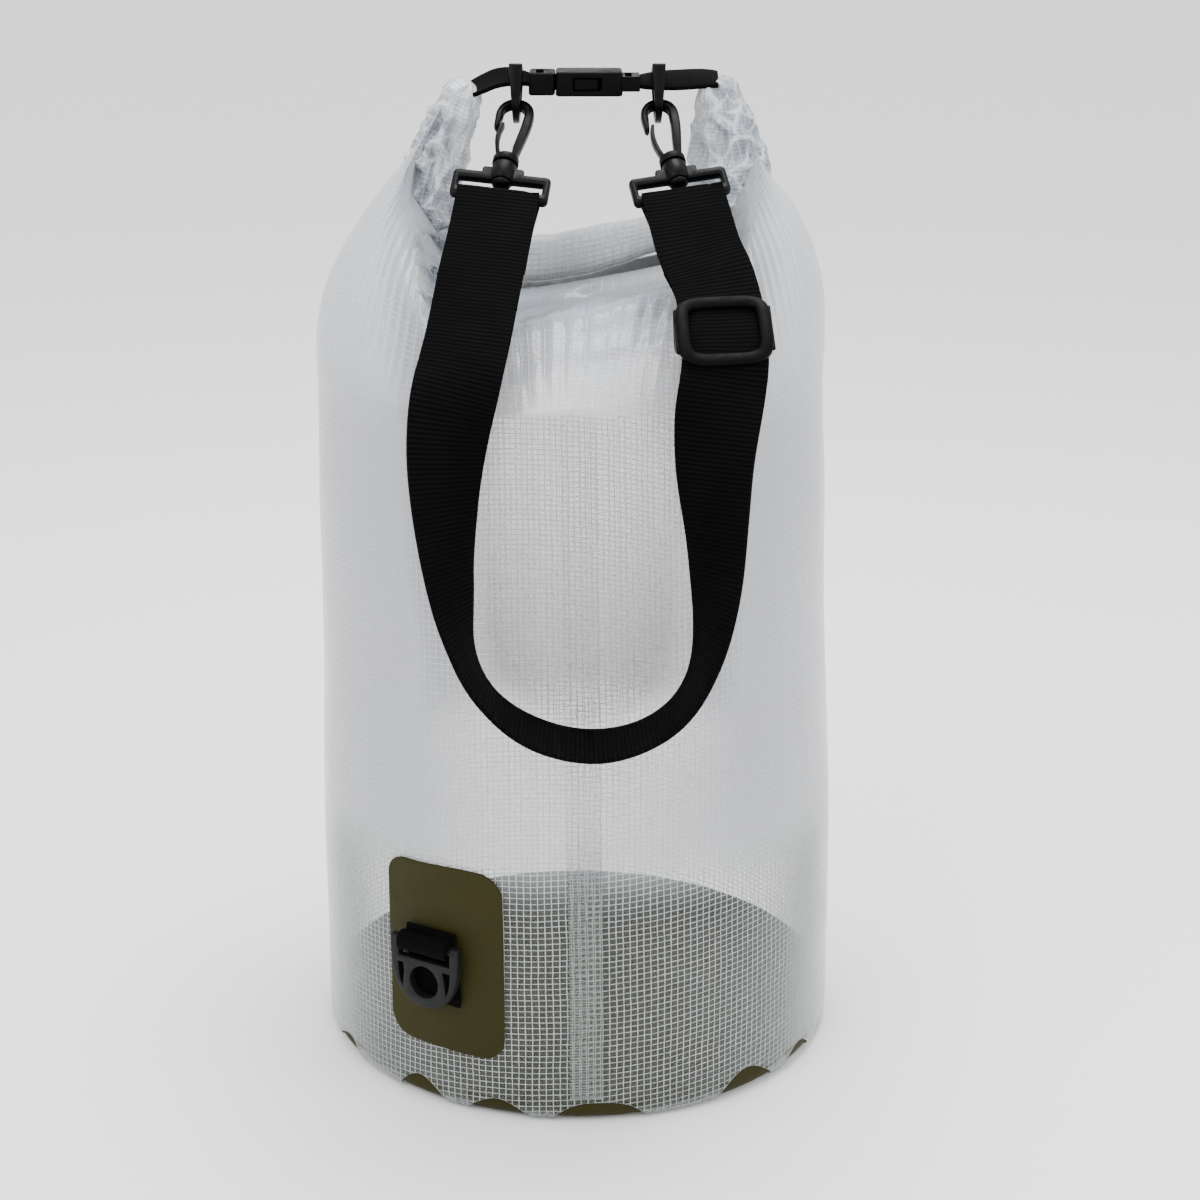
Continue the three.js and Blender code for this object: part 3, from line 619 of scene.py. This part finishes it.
# Creases pressed into the film: two ends, how far each side it reaches, and its depth, in mm.
creases = [
    ((-30, -113, 317), (8, -112, 323), 7, 1.1),
    ((-56, -98, 330), (-16, -86, 336), 11, -2.0),
    ((-16, -84, 338), (40, -80, 340), 9, 1.8),
    ((-58, -60, 345), (-22, -84, 338), 10, -2.6),
    ((-34, -66, 346), (6, -26, 350), 11, -3.2),
    ((50, -40, 352), (6, -66, 346), 12, 3.0),
    ((46, -48, 350), (22, -84, 338), 9, -2.4),
    ((-62, -40, 352), (-88, -60, 330), 7, -2.2),
    ((-88, -60, 330), (-104, -52, 305), 9, -1.2),
    ((70, -40, 352), (96, -52, 328), 8, -2.0),
    ((110, -22, 352), (113, -30, 318), 6, 1.6),
    ((-40, 113, 320), (30, 112, 324), 8, 1.2),
    ((-50, 60, 345), (10, 84, 336), 9, -1.8),
    ((50, 58, 346), (18, 86, 334), 9, 1.6),
    ((-70, 40, 352), (-94, 56, 326), 8, -2.0),
    ((72, 40, 352), (98, 52, 326), 8, -2.0),
]


def creaseDepth(point):
    total = 0
    for start, end, reach, depth in creases:
        a, b = Vector(start) * mm, Vector(end) * mm
        share = min(max((point - a).dot(b - a) / (b - a).length_squared, 0), 1)
        away = (point - a - (b - a) * share).length / (reach * mm)
        if away < 1:
            total += depth * mm * (1 - away) ** 1.3 * math.sin(math.pi * min(max(share, 0.12), 0.88)) ** 0.5
    return total


# Folds where the film doubles under: start, end, then the reach and depth of the hollow on the inner side
# and the height of the ridge, in mm.
folds = [
    ((-62, -70, 338), (-66, -50, 354), 24, 3.5, 1.8),
    ((-66, -50, 354), (-71, -10, 396), 24, 9.0, 2.8),
    ((74, -10, 398), (66, -46, 362), 22, 6.0, 2.0),
    ((60, 48, 357), (74, 10, 396), 22, 6.5, 2.0),
    ((-74, 10, 396), (-62, 48, 357), 22, 6.0, 2.0),
]


def foldDepth(point):
    total = 0
    for start, end, reach, depth, ridge in folds:
        a, b = Vector(start) * mm, Vector(end) * mm
        run = b - a
        share = (point - a).dot(run) / run.length_squared
        away = point - a - run * min(max(share, 0), 1)
        far = away.length / mm
        fade = ease(-0.25, 0.15, share) * (1 - ease(0.85, 1.25, share))
        if run.x * away.y - run.y * away.x < 0:
            hollow = ease(0, 5, far) * (1 - ease(0.5 * reach, reach, far)) * fade
            total -= depth * hollow * (1 + 1.6 * noise.noise(point * 130))
        total += ridge * math.exp(-(far / 2.4) ** 2) * fade
    return total * mm


# The shoulder runs from the round top of the side up into the neck line. It gives the point with its folds,
# and the plain point that the net is measured along.
def shoulderPoint(turn, share):
    degrees = math.degrees(turn)
    front = abs(degrees) <= 90
    reach = abs(degrees) / 90 if front else (180 - abs(degrees)) / 90
    neck = alongLine(neckLeft if turn < 0 else neckRight, reach ** 0.92) * mm
    depth = (11.5 + 3.5 * math.sin(math.pi * reach) - 3 * reach ** 3) * mm
    target = Vector((neck.x, -depth if front else depth, neck.z))
    start = round3d(turn, wall["top"], wall["topAt"])
    rise = math.sin(share * math.pi / 2)
    inward = 0.5 * rise + 0.5 * (1 - math.cos(share * math.pi / 2))
    over = Vector((blendValue(start.x, target.x, inward), blendValue(start.y, target.y, inward),
                   blendValue(start.z, target.z, rise)))
    edge = sideLeft if turn < 0 else sideRight
    line = alongLine(edge, share) * mm
    out = (line.x - edge[-1][0] * mm) / ((edge[0][0] - edge[-1][0]) * mm)
    up = (line.z - edge[0][2] * mm) / ((edge[-1][2] - edge[0][2]) * mm)
    aside = Vector((blendValue(target.x, start.x, out), blendValue(target.y, start.y, out ** 1.15),
                    blendValue(start.z, target.z, up)))
    point = over.lerp(aside, ease(0.42, 1.0, reach))
    x, y = point.x, point.y
    swell = math.sin(share * math.pi)
    if front:
        middle = 1 - ease(45, 88, abs(x) / mm)
        point.z += middle * (4.0 * math.exp(-((y / mm + 62) / 15) ** 2)
                             - 4.5 * math.exp(-((y / mm + 27) / 11) ** 2)) * mm
    pleat = math.sin(degrees * 1.9 + 5 * noise.noise(point * 18)) * 0.7 * mm * swell * (1 - 0.5 * share)
    outward = Vector((x, y, 0)).normalized() * 0.6 + Vector((0, 0, 0.8))
    tight = 1 - 0.75 * ease(0.75, 1, reach)
    moved = point + outward * ((pleat + softWaves(point, 1.3 * mm) * swell) * tight + creaseDepth(point)
                               + foldDepth(point) * ease(0, 0.2, share))
    return moved, point


def buildWall():
    hemRows, sideRows, shoulderRows = wall["hemRows"], wall["sideRows"], wall["shoulderRows"]
    rows = hemRows + sideRows + shoulderRows
    climb = wall["tilt"] / film["squaresUp"]
    around = round(2 * math.pi * wall["base"] * film["squaresAcross"]) / film["squaresAcross"]
    lengths = {}

    def put(u, v):
        turn = (u * 2 - 1) * math.pi
        row = round(v * rows)
        if row < hemRows:
            high, clear = notchAt(turn)
            down = hemLength(high) + wall["tabReach"] * ease(0, 2.4, clear)
            share = (hemRows - row) / hemRows
            point = hemPoint(turn, down * share)
            return point, (u * around, wall["hemFrom"] - down * share - u * climb)
        if row <= hemRows + sideRows:
            z = blendValue(wall["hemFrom"], wall["topAt"], (row - hemRows) / sideRows)
            radius = wallRadius(z)
            radius += sideSwell(round3d(turn, radius, z), z)
            return round3d(turn, radius, z), (u * around, z - u * climb)
        share = (row - hemRows - sideRows) / shoulderRows
        point, plain = shoulderPoint(turn, share)
        key = round(u, 5)
        before, length = lengths.get(key, (round3d(turn, wall["top"], wall["topAt"]), 0))
        length += (plain - before).length
        lengths[key] = (plain, length)
        return point, (u * around, wall["topAt"] + length - u * climb)

    piece = drapeGrid("bagWall", wall["columns"], rows, put)
    weld(piece)
    dress(piece, wallFilm, innerFilm)
    bake(piece, "SOLIDIFY", thickness=wall["sheet"], offset=-1, material_offset=1, material_offset_rim=0)
    smoothAll(piece)
    hang(piece, "root", ["body_wall"], "clear_film")


buildWall()
print("bag wall made")

# The welded seam down the front.

seam = {"turn": 0.031, "width": 14.5 * mm, "from": 12 * mm, "to": 318 * mm, "sheet": 0.5 * mm,
        "lift": 0.35 * mm}


def buildSeam():
    def put(u, v):
        z = blendValue(seam["from"], seam["to"], v)
        wander = 0.5 * mm * noise.noise(Vector((0, 0, z * 14)))
        across = (u - 0.5) * seam["width"] + wander
        turn = seam["turn"] + across / wall["base"]
        point = round3d(turn, wallRadius(z), z)
        return round3d(turn, wallRadius(z) + seam["lift"] + sideSwell(point, z), z), (across, z)

    piece = drapeGrid("seamStrip", 10, 80, put)
    dress(piece, seamFilm)
    bake(piece, "SOLIDIFY", thickness=seam["sheet"], offset=0)
    smoothAll(piece)
    hang(piece, "root", ["seam_strip"], "seam_film")


buildSeam()

# The olive base.

base = {"rim": 13 * mm, "sheet": 0.9 * mm, "flat": 102 * mm, "columns": 192}


def buildBase():
    wallInner = wall["base"] - wall["sheet"] - 0.5 * mm
    # radius and height from the middle out, under a tab and in a gap, in mm
    profile = [(0.5, 0.25), (40, 0.25), (80, 0.25), (base["flat"] / mm, 0.3), (104.5, 1.1), (109, 1.3),
               (112.2, 1.9), (114.8, 3.4), (116.6, 5.6), (wallInner / mm, 8.5),
               (wallInner / mm, base["rim"] / mm)]
    proud = [(0.5, 0.25), (40, 0.25), (80, 0.25), (102, 0.25), (106, 0.25), (109.5, 0.3), (113, 0.7),
             (115.8, 2.1), (117.8, 4.5), (118.5, 8), (wallInner / mm, base["rim"] / mm)]
    profile, proud = ([Vector(place) for place in line] for line in (profile, proud))

    def put(u, v):
        turn = (u * 2 - 1) * math.pi
        gap = min(notchAt(turn)[0] / (2 * mm), 1)
        r, z = (blendValue(a, b, gap) for a, b in zip(alongLine(profile, v), alongLine(proud, v)))
        x, y = math.sin(turn), math.cos(turn)
        sag = 0.5 * mm * noise.noise(Vector((x, y, 0)) * 2) * ease(20, 60, r) * (r < 95)
        return round3d(turn, r * mm, max(z * mm + sag, 0.2 * mm)), (r * mm * x, r * mm * y)

    piece = drapeGrid("baseSheet", base["columns"], 40, put)
    weld(piece)
    makeActive(piece)
    bpy.ops.object.mode_set(mode="EDIT")
    bpy.ops.mesh.select_all(action="DESELECT")
    bpy.ops.object.mode_set(mode="OBJECT")
    for edge in piece.data.edges:
        edge.select = all(piece.data.vertices[i].co.to_2d().length < 0.8 * mm for i in edge.vertices)
    bpy.ops.object.mode_set(mode="EDIT")
    bpy.ops.mesh.edge_collapse()
    bpy.ops.object.mode_set(mode="OBJECT")
    bake(piece, "SOLIDIFY", thickness=base["sheet"], offset=-1 if piece.data.polygons[0].normal.z < 0 else 1)
    dress(piece, oliveTarpaulin)
    smooth(piece, 50)
    hang(piece, "root", ["base_disc"], "olive_tarpaulin")


buildBase()
print("base made")

# The rolled mouth.

# The roll's own line from the left buckle end, down, across and up: x, z, half height, half depth, in mm.
rollLine = [
    (-47, 439, 6.5, 10.5), (-50.5, 433.5, 8, 10.5), (-54.5, 424, 9.5, 10), (-59.5, 413, 10.5, 11),
    (-64, 402, 11, 12), (-67, 390, 12, 12.5), (-69, 378, 12.5, 11.5), (-65, 369, 12, 11),
    (-52, 365, 11.5, 10), (-36, 361.5, 10.5, 9), (-16, 361.5, 10.2, 9), (6, 365, 10, 9),
    (28, 371, 8.6, 9), (48, 376, 8.6, 9.5), (60, 380, 11.5, 11), (66, 384, 14, 12.5),
    (67, 394, 15.5, 13), (66, 405, 15.5, 13), (64.5, 415, 13, 11.5), (64, 424, 10.5, 10),
    (62, 432, 9, 10.5), (58.5, 440, 7, 10.5),
]
roll = {
    "columns": 96, "rows": 300,
    "lip": 0.07,  # how much the last turn stands proud
    "longFolds": 7.5, "crush": 4.2, "fineCrush": 1.1,  # depths in the crumpled ends, in mm
    "pleats": 0.55, "slack": 0.9,  # and in the calm middle
}


def buildRoll():
    points = [Vector(p) for p in rollLine]

    def put(u, v):
        x, z, high, deep = alongLine(points, v)
        ahead = alongLine(points, min(v + 0.004, 1))
        behind = alongLine(points, max(v - 0.004, 0))
        along = Vector((ahead[0] - behind[0], 0, ahead[1] - behind[1])).normalized()
        side = Vector((-along.z, 0, along.x))
        centre = Vector((x, 0, z)) * mm
        turn = u * 2 * math.pi + 2.4
        swell = 1 + roll["lip"] * (u - 0.5)
        closing = math.sqrt(max(1 - (abs(v - 0.5) * 2) ** 40, 0.0))
        c, s = math.cos(turn), math.sin(turn)
        flat = (abs(c) ** 2.6 + abs(s) ** 2.6) ** (-1 / 2.6)
        point = centre + (side * high * c + Vector((0, 1, 0)) * deep * s) * mm * flat * swell * closing
        ear = ease(40, 66, abs(x - 3)) * ease(360, 378, z)
        long = (0.36 - abs(noise.noise(Vector((c * 1.7, s * 1.7, v * 22))))) * roll["longFolds"]
        crush = ((0.3 - abs(noise.noise(point * 75 + Vector((9, 2, 4))))) * roll["crush"]
                 + noise.noise(point * 170) * roll["fineCrush"])
        pleats = (noise.noise(Vector((point.x * 95, 0.4, u * 2))) * roll["pleats"]
                  + noise.noise(Vector((x * 0.03, 7, u))) * roll["slack"])
        amount = blendValue(pleats, long + crush, ear) * closing
        outward = side * c + Vector((0, 1, 0)) * s
        return point + outward * amount * mm, (v * 0.36, u * 0.075)

    piece = drapeGrid("rolledMouth", roll["columns"], roll["rows"], put)
    weld(piece, 0.0002)
    dress(piece, rolledFilm)
    smoothAll(piece)
    hang(piece, "root", ["roll_centre", "roll_end_left", "roll_end_right", "mouth_stiffener"], "clear_film")


buildRoll()
print("rolled mouth made")

# Webbing.

# Where each run hangs from: the strap's pull, the drop from the ring's arc, then x and lean of each side.
hanging = {
    "pull": math.radians(-48), "reach": 11.6, "arc": Vector((0, -1.294, 434.17)),
    "left": (-27, math.radians(8)), "right": (35, math.radians(-11)),
}
strap = {
    "width": 35, "thickness": 1.7,
    "ply": -3.7,  # how far the front ply lies from the middle of the frame
    "barAt": 47.5, "sliderAt": 125, "sliderTurn": math.radians(7.5),
    "settle": 1.6,  # how far the run moves over once it is through the slider
    "returnWidth": 34, "returnThickness": 1.5,
}


def sideFrame(side):
    x, lean = hanging[side]
    turn = Matrix.Rotation(hanging["pull"], 4, "X")
    start = hanging["arc"] + turn @ Vector((0, 0, -hanging["reach"]))
    start.x = x
    return Matrix.Translation(start) @ turn @ Matrix.Rotation(lean, 4, "Y")


sideFrames = {"left": sideFrame("left"), "right": sideFrame("right")}


# The right run swings a little to pass upright through the slider: its sideways step and its turn there.
def swayAt(side, down):
    if side == "left":
        return 0, 0
    turn = strap["sliderTurn"]
    step = (strap["sliderAt"] - down) * math.tan(turn) * ease(80, 106, down)
    return step - strap["settle"] * ease(132, 146, down), turn * ease(84, 108, down)


# A station of the webbing: its middle, the way its width runs, in mm.
def onSide(side, down, normal, flip=1):
    place = sideFrames[side]
    sway, turn = swayAt(side, down)
    across = Vector((math.cos(turn), 0, -math.sin(turn)))
    return place @ Vector((sway, normal, -down)), flip * (place.to_3x3() @ across)


def inAir(x, y, z, turn):
    a = math.radians(turn)
    return Vector((x, y, z)), Vector((math.cos(a), math.sin(a), 0))


def layWebbing(name, stations, width, thickness, finish, rows, bow=0.0, ripple=0.0, relaxed=None):
    middles = [s[0] for s in stations]
    widths = [s[1] for s in stations]
    fine = [alongLine(middles, i / rows) for i in range(rows + 1)]
    if relaxed:
        first, last = (round(share * rows) for share in relaxed)
        for _ in range(90):
            fine[first:last] = [(fine[k - 1] + 2 * fine[k] + fine[k + 1]) / 4 for k in range(first, last)]
    run = [0]
    for a, b in zip(fine, fine[1:]):
        run.append(run[-1] + (b - a).length)

    def put(u, v):
        k = round(v * rows)
        along = (fine[min(k + 1, rows)] - fine[max(k - 1, 0)]).normalized()
        across = alongLine(widths, k / rows)
        normal = along.cross(across).normalized()
        across = normal.cross(along).normalized()
        side = 2 * u - 1
        edge = ripple * noise.noise(Vector((side * 1.2, run[k] * 0.035, 5))) * abs(side)
        lift = bow * (1 - side * side) + edge
        point = fine[k] + across * side * (width / 2 + 0.35 * edge) + normal * lift
        return point * mm, (side * width / 2 * mm, run[k] * mm)

    piece = drapeGrid(name, 10, rows, put)
    bake(piece, "SOLIDIFY", thickness=thickness * mm, offset=0)
    roundEdges(piece, 0.45 * mm, 50)
    dress(piece, finish)
    smooth(piece, 50)
    return piece


def buildShoulderStrap():
    ply = strap["ply"]

    def tail(side, flip=1):
        downs = ((88, ply + 2.3), (74, ply + 2.3), (62, ply + 2.6), (54, 1.4))
        return [onSide(side, down, normal, flip) for down, normal in downs]

    def turnRound(side, flip=1):
        stations = []
        for degrees in range(0, 181, 30):
            a = math.radians(degrees)
            stations.append(onSide(side, strap["barAt"] - ply * math.sin(a), -ply * math.cos(a), flip))
        return stations

    def run(side, downs, flip=1):
        return [onSide(side, down, ply + normal, flip) for down, normal in downs]

    straight = [(60, 0), (80, 0), (100, 0), (120, 0), (143, 0)]
    left = tail("left") + turnRound("left") + run("left", straight)
    # the hanging loop: x, y, z in mm and the way the width runs, in degrees
    drop = [inAir(*s) for s in (
        (-50, -121.5, 326, 12), (-53, -125, 309, 28), (-54.5, -127.5, 282, 45), (-52.5, -131, 259, 58),
        (-50, -134, 238, 70), (-47.5, -136, 220, 82), (-40.5, -137, 203, 90), (-25.7, -138, 190, 90),
        (-7.4, -138.5, 183, 90), (9, -138.5, 181, 90), (27.5, -138, 184.7, 90), (43.8, -137, 196, 92),
        (51.5, -136, 212, 98), (54.5, -134, 229, 108), (56, -131, 248, 119), (56, -128.5, 266, 129),
        (54.3, -127, 284, 139), (53.6, -127.5, 302, 150), (55.2, -126, 317, 164))]
    inSlider = [(60, 0), (78, 0), (92, 0), (104, 0), (110, 0), (116, -1.5), (125, -2.4), (134, -1.5),
                (140, 0), (148, 0)]
    right = tail("right", -1) + turnRound("right", -1) + run("right", inSlider, -1)
    stations = left + drop + list(reversed(right))
    piece = layWebbing("shoulderStrap", stations, strap["width"], strap["thickness"], wideWebbing,
                       rows=420, ripple=0.8, relaxed=(0.26, 0.76))
    hang(piece, "strap", ["shoulder_strap"], "wide_webbing")


def buildStrapReturn():
    stations = [onSide("right", d, n) for d, n in ((83, 1), (98, 1.1), (110, 2.2), (119, 3.8))]
    for degrees in (0, 45, 90, 135, 180):
        a = math.radians(degrees)
        stations.append(onSide("right", strap["sliderAt"] + 2.8 * math.sin(a), 1.1 + 2.8 * math.cos(a)))
    stations.append(onSide("right", strap["sliderAt"] - 6, -1.7))
    piece = layWebbing("strapReturn", stations, strap["returnWidth"], strap["returnThickness"], wideWebbing,
                       rows=60)
    hang(piece, "slider", ["strap_return"], "wide_webbing")


buildShoulderStrap()
buildStrapReturn()

# The short bands that carry the buckle, each turned over the end of the roll: x, z in mm, tilt in degrees.
closure = {
    "width": 19, "sheet": 1.9,
    "left": [(-18, 439, 4), (-23, 440.4, 10), (-30, 441.2, 16), (-36, 440.4, 18), (-41, 438.4, 18),
             (-46, 436.2, 15), (-49, 434.8, 12)],
    "right": [(24, 439, 4), (30, 439.4, 12), (37, 439.8, 17), (45, 440, 18), (52, 440.3, 17),
              (58, 440.3, 15), (61, 440, 13)],
}


def buildClosureBand(name, side):
    stations = []
    for x, z, degrees in closure[side]:
        a = math.radians(degrees)
        stations.append((Vector((x, 0, z)), Vector((0, math.cos(a), math.sin(a)))))
    piece = layWebbing(name, stations, closure["width"], closure["sheet"], narrowWebbing,
                       rows=60, bow=0.8, ripple=0.6)
    hang(piece, "root", [f"closure_strap_{side}"], "narrow_webbing")


buildClosureBand("closureBandLeft", "left")
buildClosureBand("closureBandRight", "right")
print("webbing made")

# Moulded pieces: the frame's own shapes with softened edges.

# Each copy: its node, its body, the width of its rounded edges in mm, its finish and its slot.
moulded = {
    "buckleSocket": ("buckle_socket", "root", 0.6, bucklePlastic, "buckle_plastic"),
    "bucklePlug": ("buckle_plug", "root", 0.5, bucklePlastic, "buckle_plastic"),
    "buckleProngFront": ("buckle_prong_front", "prong_front", 0.3, bucklePlastic, "buckle_plastic"),
    "buckleProngBack": ("buckle_prong_back", "prong_back", 0.3, bucklePlastic, "buckle_plastic"),
}
# What hangs the strap, alike on both sides; the frames are part of the strap's own body.
hangers = [("strapRing", "strap_ring", "ring", 0.25), ("snapHook", "hook_body", "hook", 0.25),
           ("hookGate", "hook_gate", "gate", 0.2), ("swivelPin", "swivel_pin", "hook", 0.15),
           ("swivelFrame", "swivel_frame", "strap", 0.25)]
for name, node, body, edge in hangers:
    for side in ("left", "right"):
        moulded[name + side.title()] = (f"{node}_{side}", body if body == "strap" else f"{body}_{side}",
                                        edge, hookPlastic, "moulded_plastic")
moulded["lugRing"] = ("patch_ring", "lug_ring", 0.3, lugPlastic, "moulded_plastic")


def copyOf(node, name):
    clearSelection()
    piece = bpy.data.objects.new(name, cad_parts[node].data.copy())
    bpy.context.scene.collection.objects.link(piece)
    makeActive(piece)
    bpy.ops.object.mode_set(mode="EDIT")
    bpy.ops.mesh.select_all(action="SELECT")
    bpy.ops.mesh.remove_doubles(threshold=0.00001)
    bpy.ops.mesh.dissolve_limited(angle_limit=math.radians(1))
    bpy.ops.object.mode_set(mode="OBJECT")
    return piece


def buildMoulded():
    for name, (node, body, edge, finish, slot) in moulded.items():
        piece = copyOf(node, name)
        roundEdges(piece, edge * mm, 34)
        dress(piece, finish)
        smooth(piece, 36)
        hang(piece, body, [node], slot)


buildMoulded()

# The strap slider: a rounded frame, two cheeks and the bar between them. It hangs more upright than its
# run. In mm.
slider = {
    "halfWide": 16.7, "halfLong": 14.4, "rail": 2.9, "bar": 2.75, "front": -6.3, "bulge": 1.0,
    "round": 0.42,  # how square the frame's corners are
    "cheekOut": 18.9, "cheekThick": 2, "cheekFront": -7, "cheekBack": 2.6,
    "cheekLong": 23, "cheekBackLong": 6,  # the cheeks narrow towards the bar
    "barRadius": 1.6, "barLong": 37, "barBehind": 1.1,
}


def buildSlider():
    place = (sideFrames["right"] @ Matrix.Translation((0, 0, -strap["sliderAt"]))
             @ Matrix.Rotation(strap["sliderTurn"], 4, "Y"))

    def squared(value, power):
        return math.copysign(abs(value) ** power, value)

    def spine(v):
        a = v * 2 * math.pi
        return Vector((squared(math.cos(a), slider["round"]) * slider["halfWide"], 0,
                       squared(math.sin(a), slider["round"]) * slider["halfLong"]))

    def put(u, v):
        middle = spine(v)
        along = (spine(v + 0.002) - spine(v - 0.002)).normalized()
        aside = abs(along.z)
        wide = blendValue(slider["bar"], slider["rail"], aside ** 2)
        a = u * 2 * math.pi
        bow = slider["bulge"] * (1 - (middle.z / slider["halfLong"]) ** 2)
        lift = slider["front"] - bow + (1.7 + 0.7 * aside) * squared(math.sin(a), 0.75)
        outward = Vector((along.z, 0, -along.x)) * wide * squared(math.cos(a), 0.75)
        return place @ (middle + outward + Vector((0, lift, 0))) * mm, (u * 0.02, v * 0.12)

    piece = drapeGrid("strapSlider", 20, 200, put)
    weld(piece)
    extras = []
    for side in (-1, 1):
        bpy.ops.mesh.primitive_cube_add(size=1)
        cheek = bpy.context.object
        for vertex in cheek.data.vertices:
            x, y, z = vertex.co
            out = side * slider["cheekOut"] + x * slider["cheekThick"]
            depth, long = slider["cheekFront"], slider["cheekLong"]
            if y > 0:
                depth, long = slider["cheekBack"], slider["cheekBackLong"]
            vertex.co = place @ Vector((out, depth, z * long)) * mm
        roundEdges(cheek, 0.5 * mm, 40)
        extras.append(cheek)
    bpy.ops.mesh.primitive_cylinder_add(vertices=20, radius=slider["barRadius"] * mm,
                                        depth=slider["barLong"] * mm)
    bar = bpy.context.object
    middle = place @ Vector((0, slider["barBehind"], 0)) * mm
    lying = place.to_3x3().to_4x4() @ Matrix.Rotation(math.pi / 2, 4, "Y")
    bar.data.transform(Matrix.Translation(middle) @ lying)
    extras.append(bar)
    makeActive(piece)
    for extra in extras:
        extra.select_set(True)
    bpy.ops.object.join()
    bpy.ops.object.mode_set(mode="EDIT")
    bpy.ops.mesh.select_all(action="SELECT")
    bpy.ops.mesh.normals_make_consistent(inside=False)
    bpy.ops.object.mode_set(mode="OBJECT")
    dress(piece, bucklePlastic)
    smooth(piece, 40)
    hang(piece, "slider", ["strap_slider"], "moulded_plastic")


buildSlider()
print("moulded pieces made")

# The lug patch.

patch = {"turn": math.radians(-29.3), "width": 58 * mm, "height": 86 * mm, "z": 72 * mm, "corner": 10.5 * mm,
         "sheet": 1.0 * mm, "columns": 40, "rows": 52}
lug = {"turn": math.radians(-31.3), "z": 80, "radius": 126.7, "width": 25, "sheet": 1.5,
       "wrap": 3.7,  # radius of the turn round the ring's bar
       "flat": 121.9}  # how far out the flat end lies


def roundedSquare(u, v, halfWide, halfHigh, corner):
    x, y = (2 * u - 1) * halfWide, (2 * v - 1) * halfHigh
    a, b = (abs(x) - halfWide + corner) / corner, (abs(y) - halfHigh + corner) / corner
    if a > 0 and b > 0:
        pull = max(a, b) / math.hypot(a, b)
        x = math.copysign(halfWide - corner + a * pull * corner, x)
        y = math.copysign(halfHigh - corner + b * pull * corner, y)
    return x, y


def buildPatch():
    def put(u, v):
        x, y = roundedSquare(u, v, patch["width"] / 2, patch["height"] / 2, patch["corner"])
        top = max(y, 0) / (patch["height"] / 2)
        y += 1.1 * mm * math.sin(x / patch["width"] * 5.2 + 0.5) * top ** 3 - 0.035 * x
        z = patch["z"] + y
        lift = 0.95 * mm + 0.35 * mm * noise.noise(Vector((x, y, 0)) * 40)
        return round3d(patch["turn"] + x / wall["base"], wall["base"] + lift, z), (x, y)

    piece = drapeGrid("lugPatch", patch["columns"], patch["rows"], put)
    bake(piece, "SOLIDIFY", thickness=patch["sheet"], offset=0)
    roundEdges(piece, 0.3 * mm, 50)
    dress(piece, oliveTarpaulin)
    smooth(piece, 50)
    hang(piece, "root", ["ring_patch"], "olive_tarpaulin")


def buildLugWebbing():
    turn = Matrix.Rotation(lug["turn"], 4, "Z")
    across = turn.to_3x3() @ Vector((1, 0, 0))
    radius, z = lug["radius"], lug["z"]

    def station(out, height, shift=0.0):
        return turn @ Vector((shift, -out, height)), across

    flatEnd = ((52, 1.8), (58, 1.8), (66, 1.2), (74, 0.0))
    stations = [station(lug["flat"], height, shift) for height, shift in flatEnd]
    for degrees in range(-60, 241, 30):
        a = math.radians(degrees)
        stations.append(station(radius + lug["wrap"] * math.sin(a), z - lug["wrap"] * math.cos(a)))
    stations.append(station(lug["flat"] + 0.3, 86))
    piece = layWebbing("lugWebbing", stations, lug["width"], lug["sheet"], narrowWebbing,
                       rows=110, ripple=0.3)
    hang(piece, "root", ["patch_webbing"], "narrow_webbing")


buildPatch()
buildLugWebbing()
print("lug patch made")

# Camera, floor and light.

view = {"place": (0, -1.026, 0.528), "pitch": 75, "lens": 69.63, "shiftX": 0.0183, "shiftY": -0.0892}
studio = {
    "floor": (0.95, 0.95, 0.95, 1), "floorSize": 14, "skyStrength": 1.6,
    "aim": (0, 0, 0.22),
    # name, place, size in metres, power in watts
    "lights": [("keyLight", (-0.9, -1.2, 1.5), 1.0, 18), ("fillLight", (1.2, -0.9, 1.0), 1.1, 9),
               ("topLight", (0.1, 0.25, 1.6), 0.8, 24)],
}


def setCamera():
    data = bpy.data.cameras.new("camera")
    data.lens, data.sensor_width = view["lens"], 36
    data.shift_x, data.shift_y = view["shiftX"], view["shiftY"]
    camera = bpy.data.objects.new("camera", data)
    camera.location = view["place"]
    camera.rotation_euler = Euler((math.radians(view["pitch"]), 0, 0))
    bpy.context.scene.collection.objects.link(camera)
    bpy.context.scene.camera = camera


def addLight(name, place, size, power):
    data = bpy.data.lights.new(name, "AREA")
    data.energy, data.size = power, size
    lamp = bpy.data.objects.new(name, data)
    lamp.location = place
    lamp.rotation_euler = (Vector(studio["aim"]) - Vector(place)).to_track_quat("-Z", "Y").to_euler()
    bpy.context.scene.collection.objects.link(lamp)


def setStage():
    clearSelection()
    bpy.ops.mesh.primitive_plane_add(size=studio["floorSize"], location=(0, 3, -0.0004))
    floor = bpy.context.object
    floor.name = "studioFloor"
    material, tree, shader = newMaterial("studioFloor", {"Roughness": 0.8, "Base Color": studio["floor"]})
    dress(floor, material)
    world = bpy.data.worlds.new("studio")
    world.use_nodes = True
    sky = world.node_tree.nodes["Background"]
    sky.inputs["Color"].default_value = (1, 1, 1, 1)
    sky.inputs["Strength"].default_value = studio["skyStrength"]
    bpy.context.scene.world = world


setCamera()
for light in studio["lights"]:
    addLight(*light)
setStage()
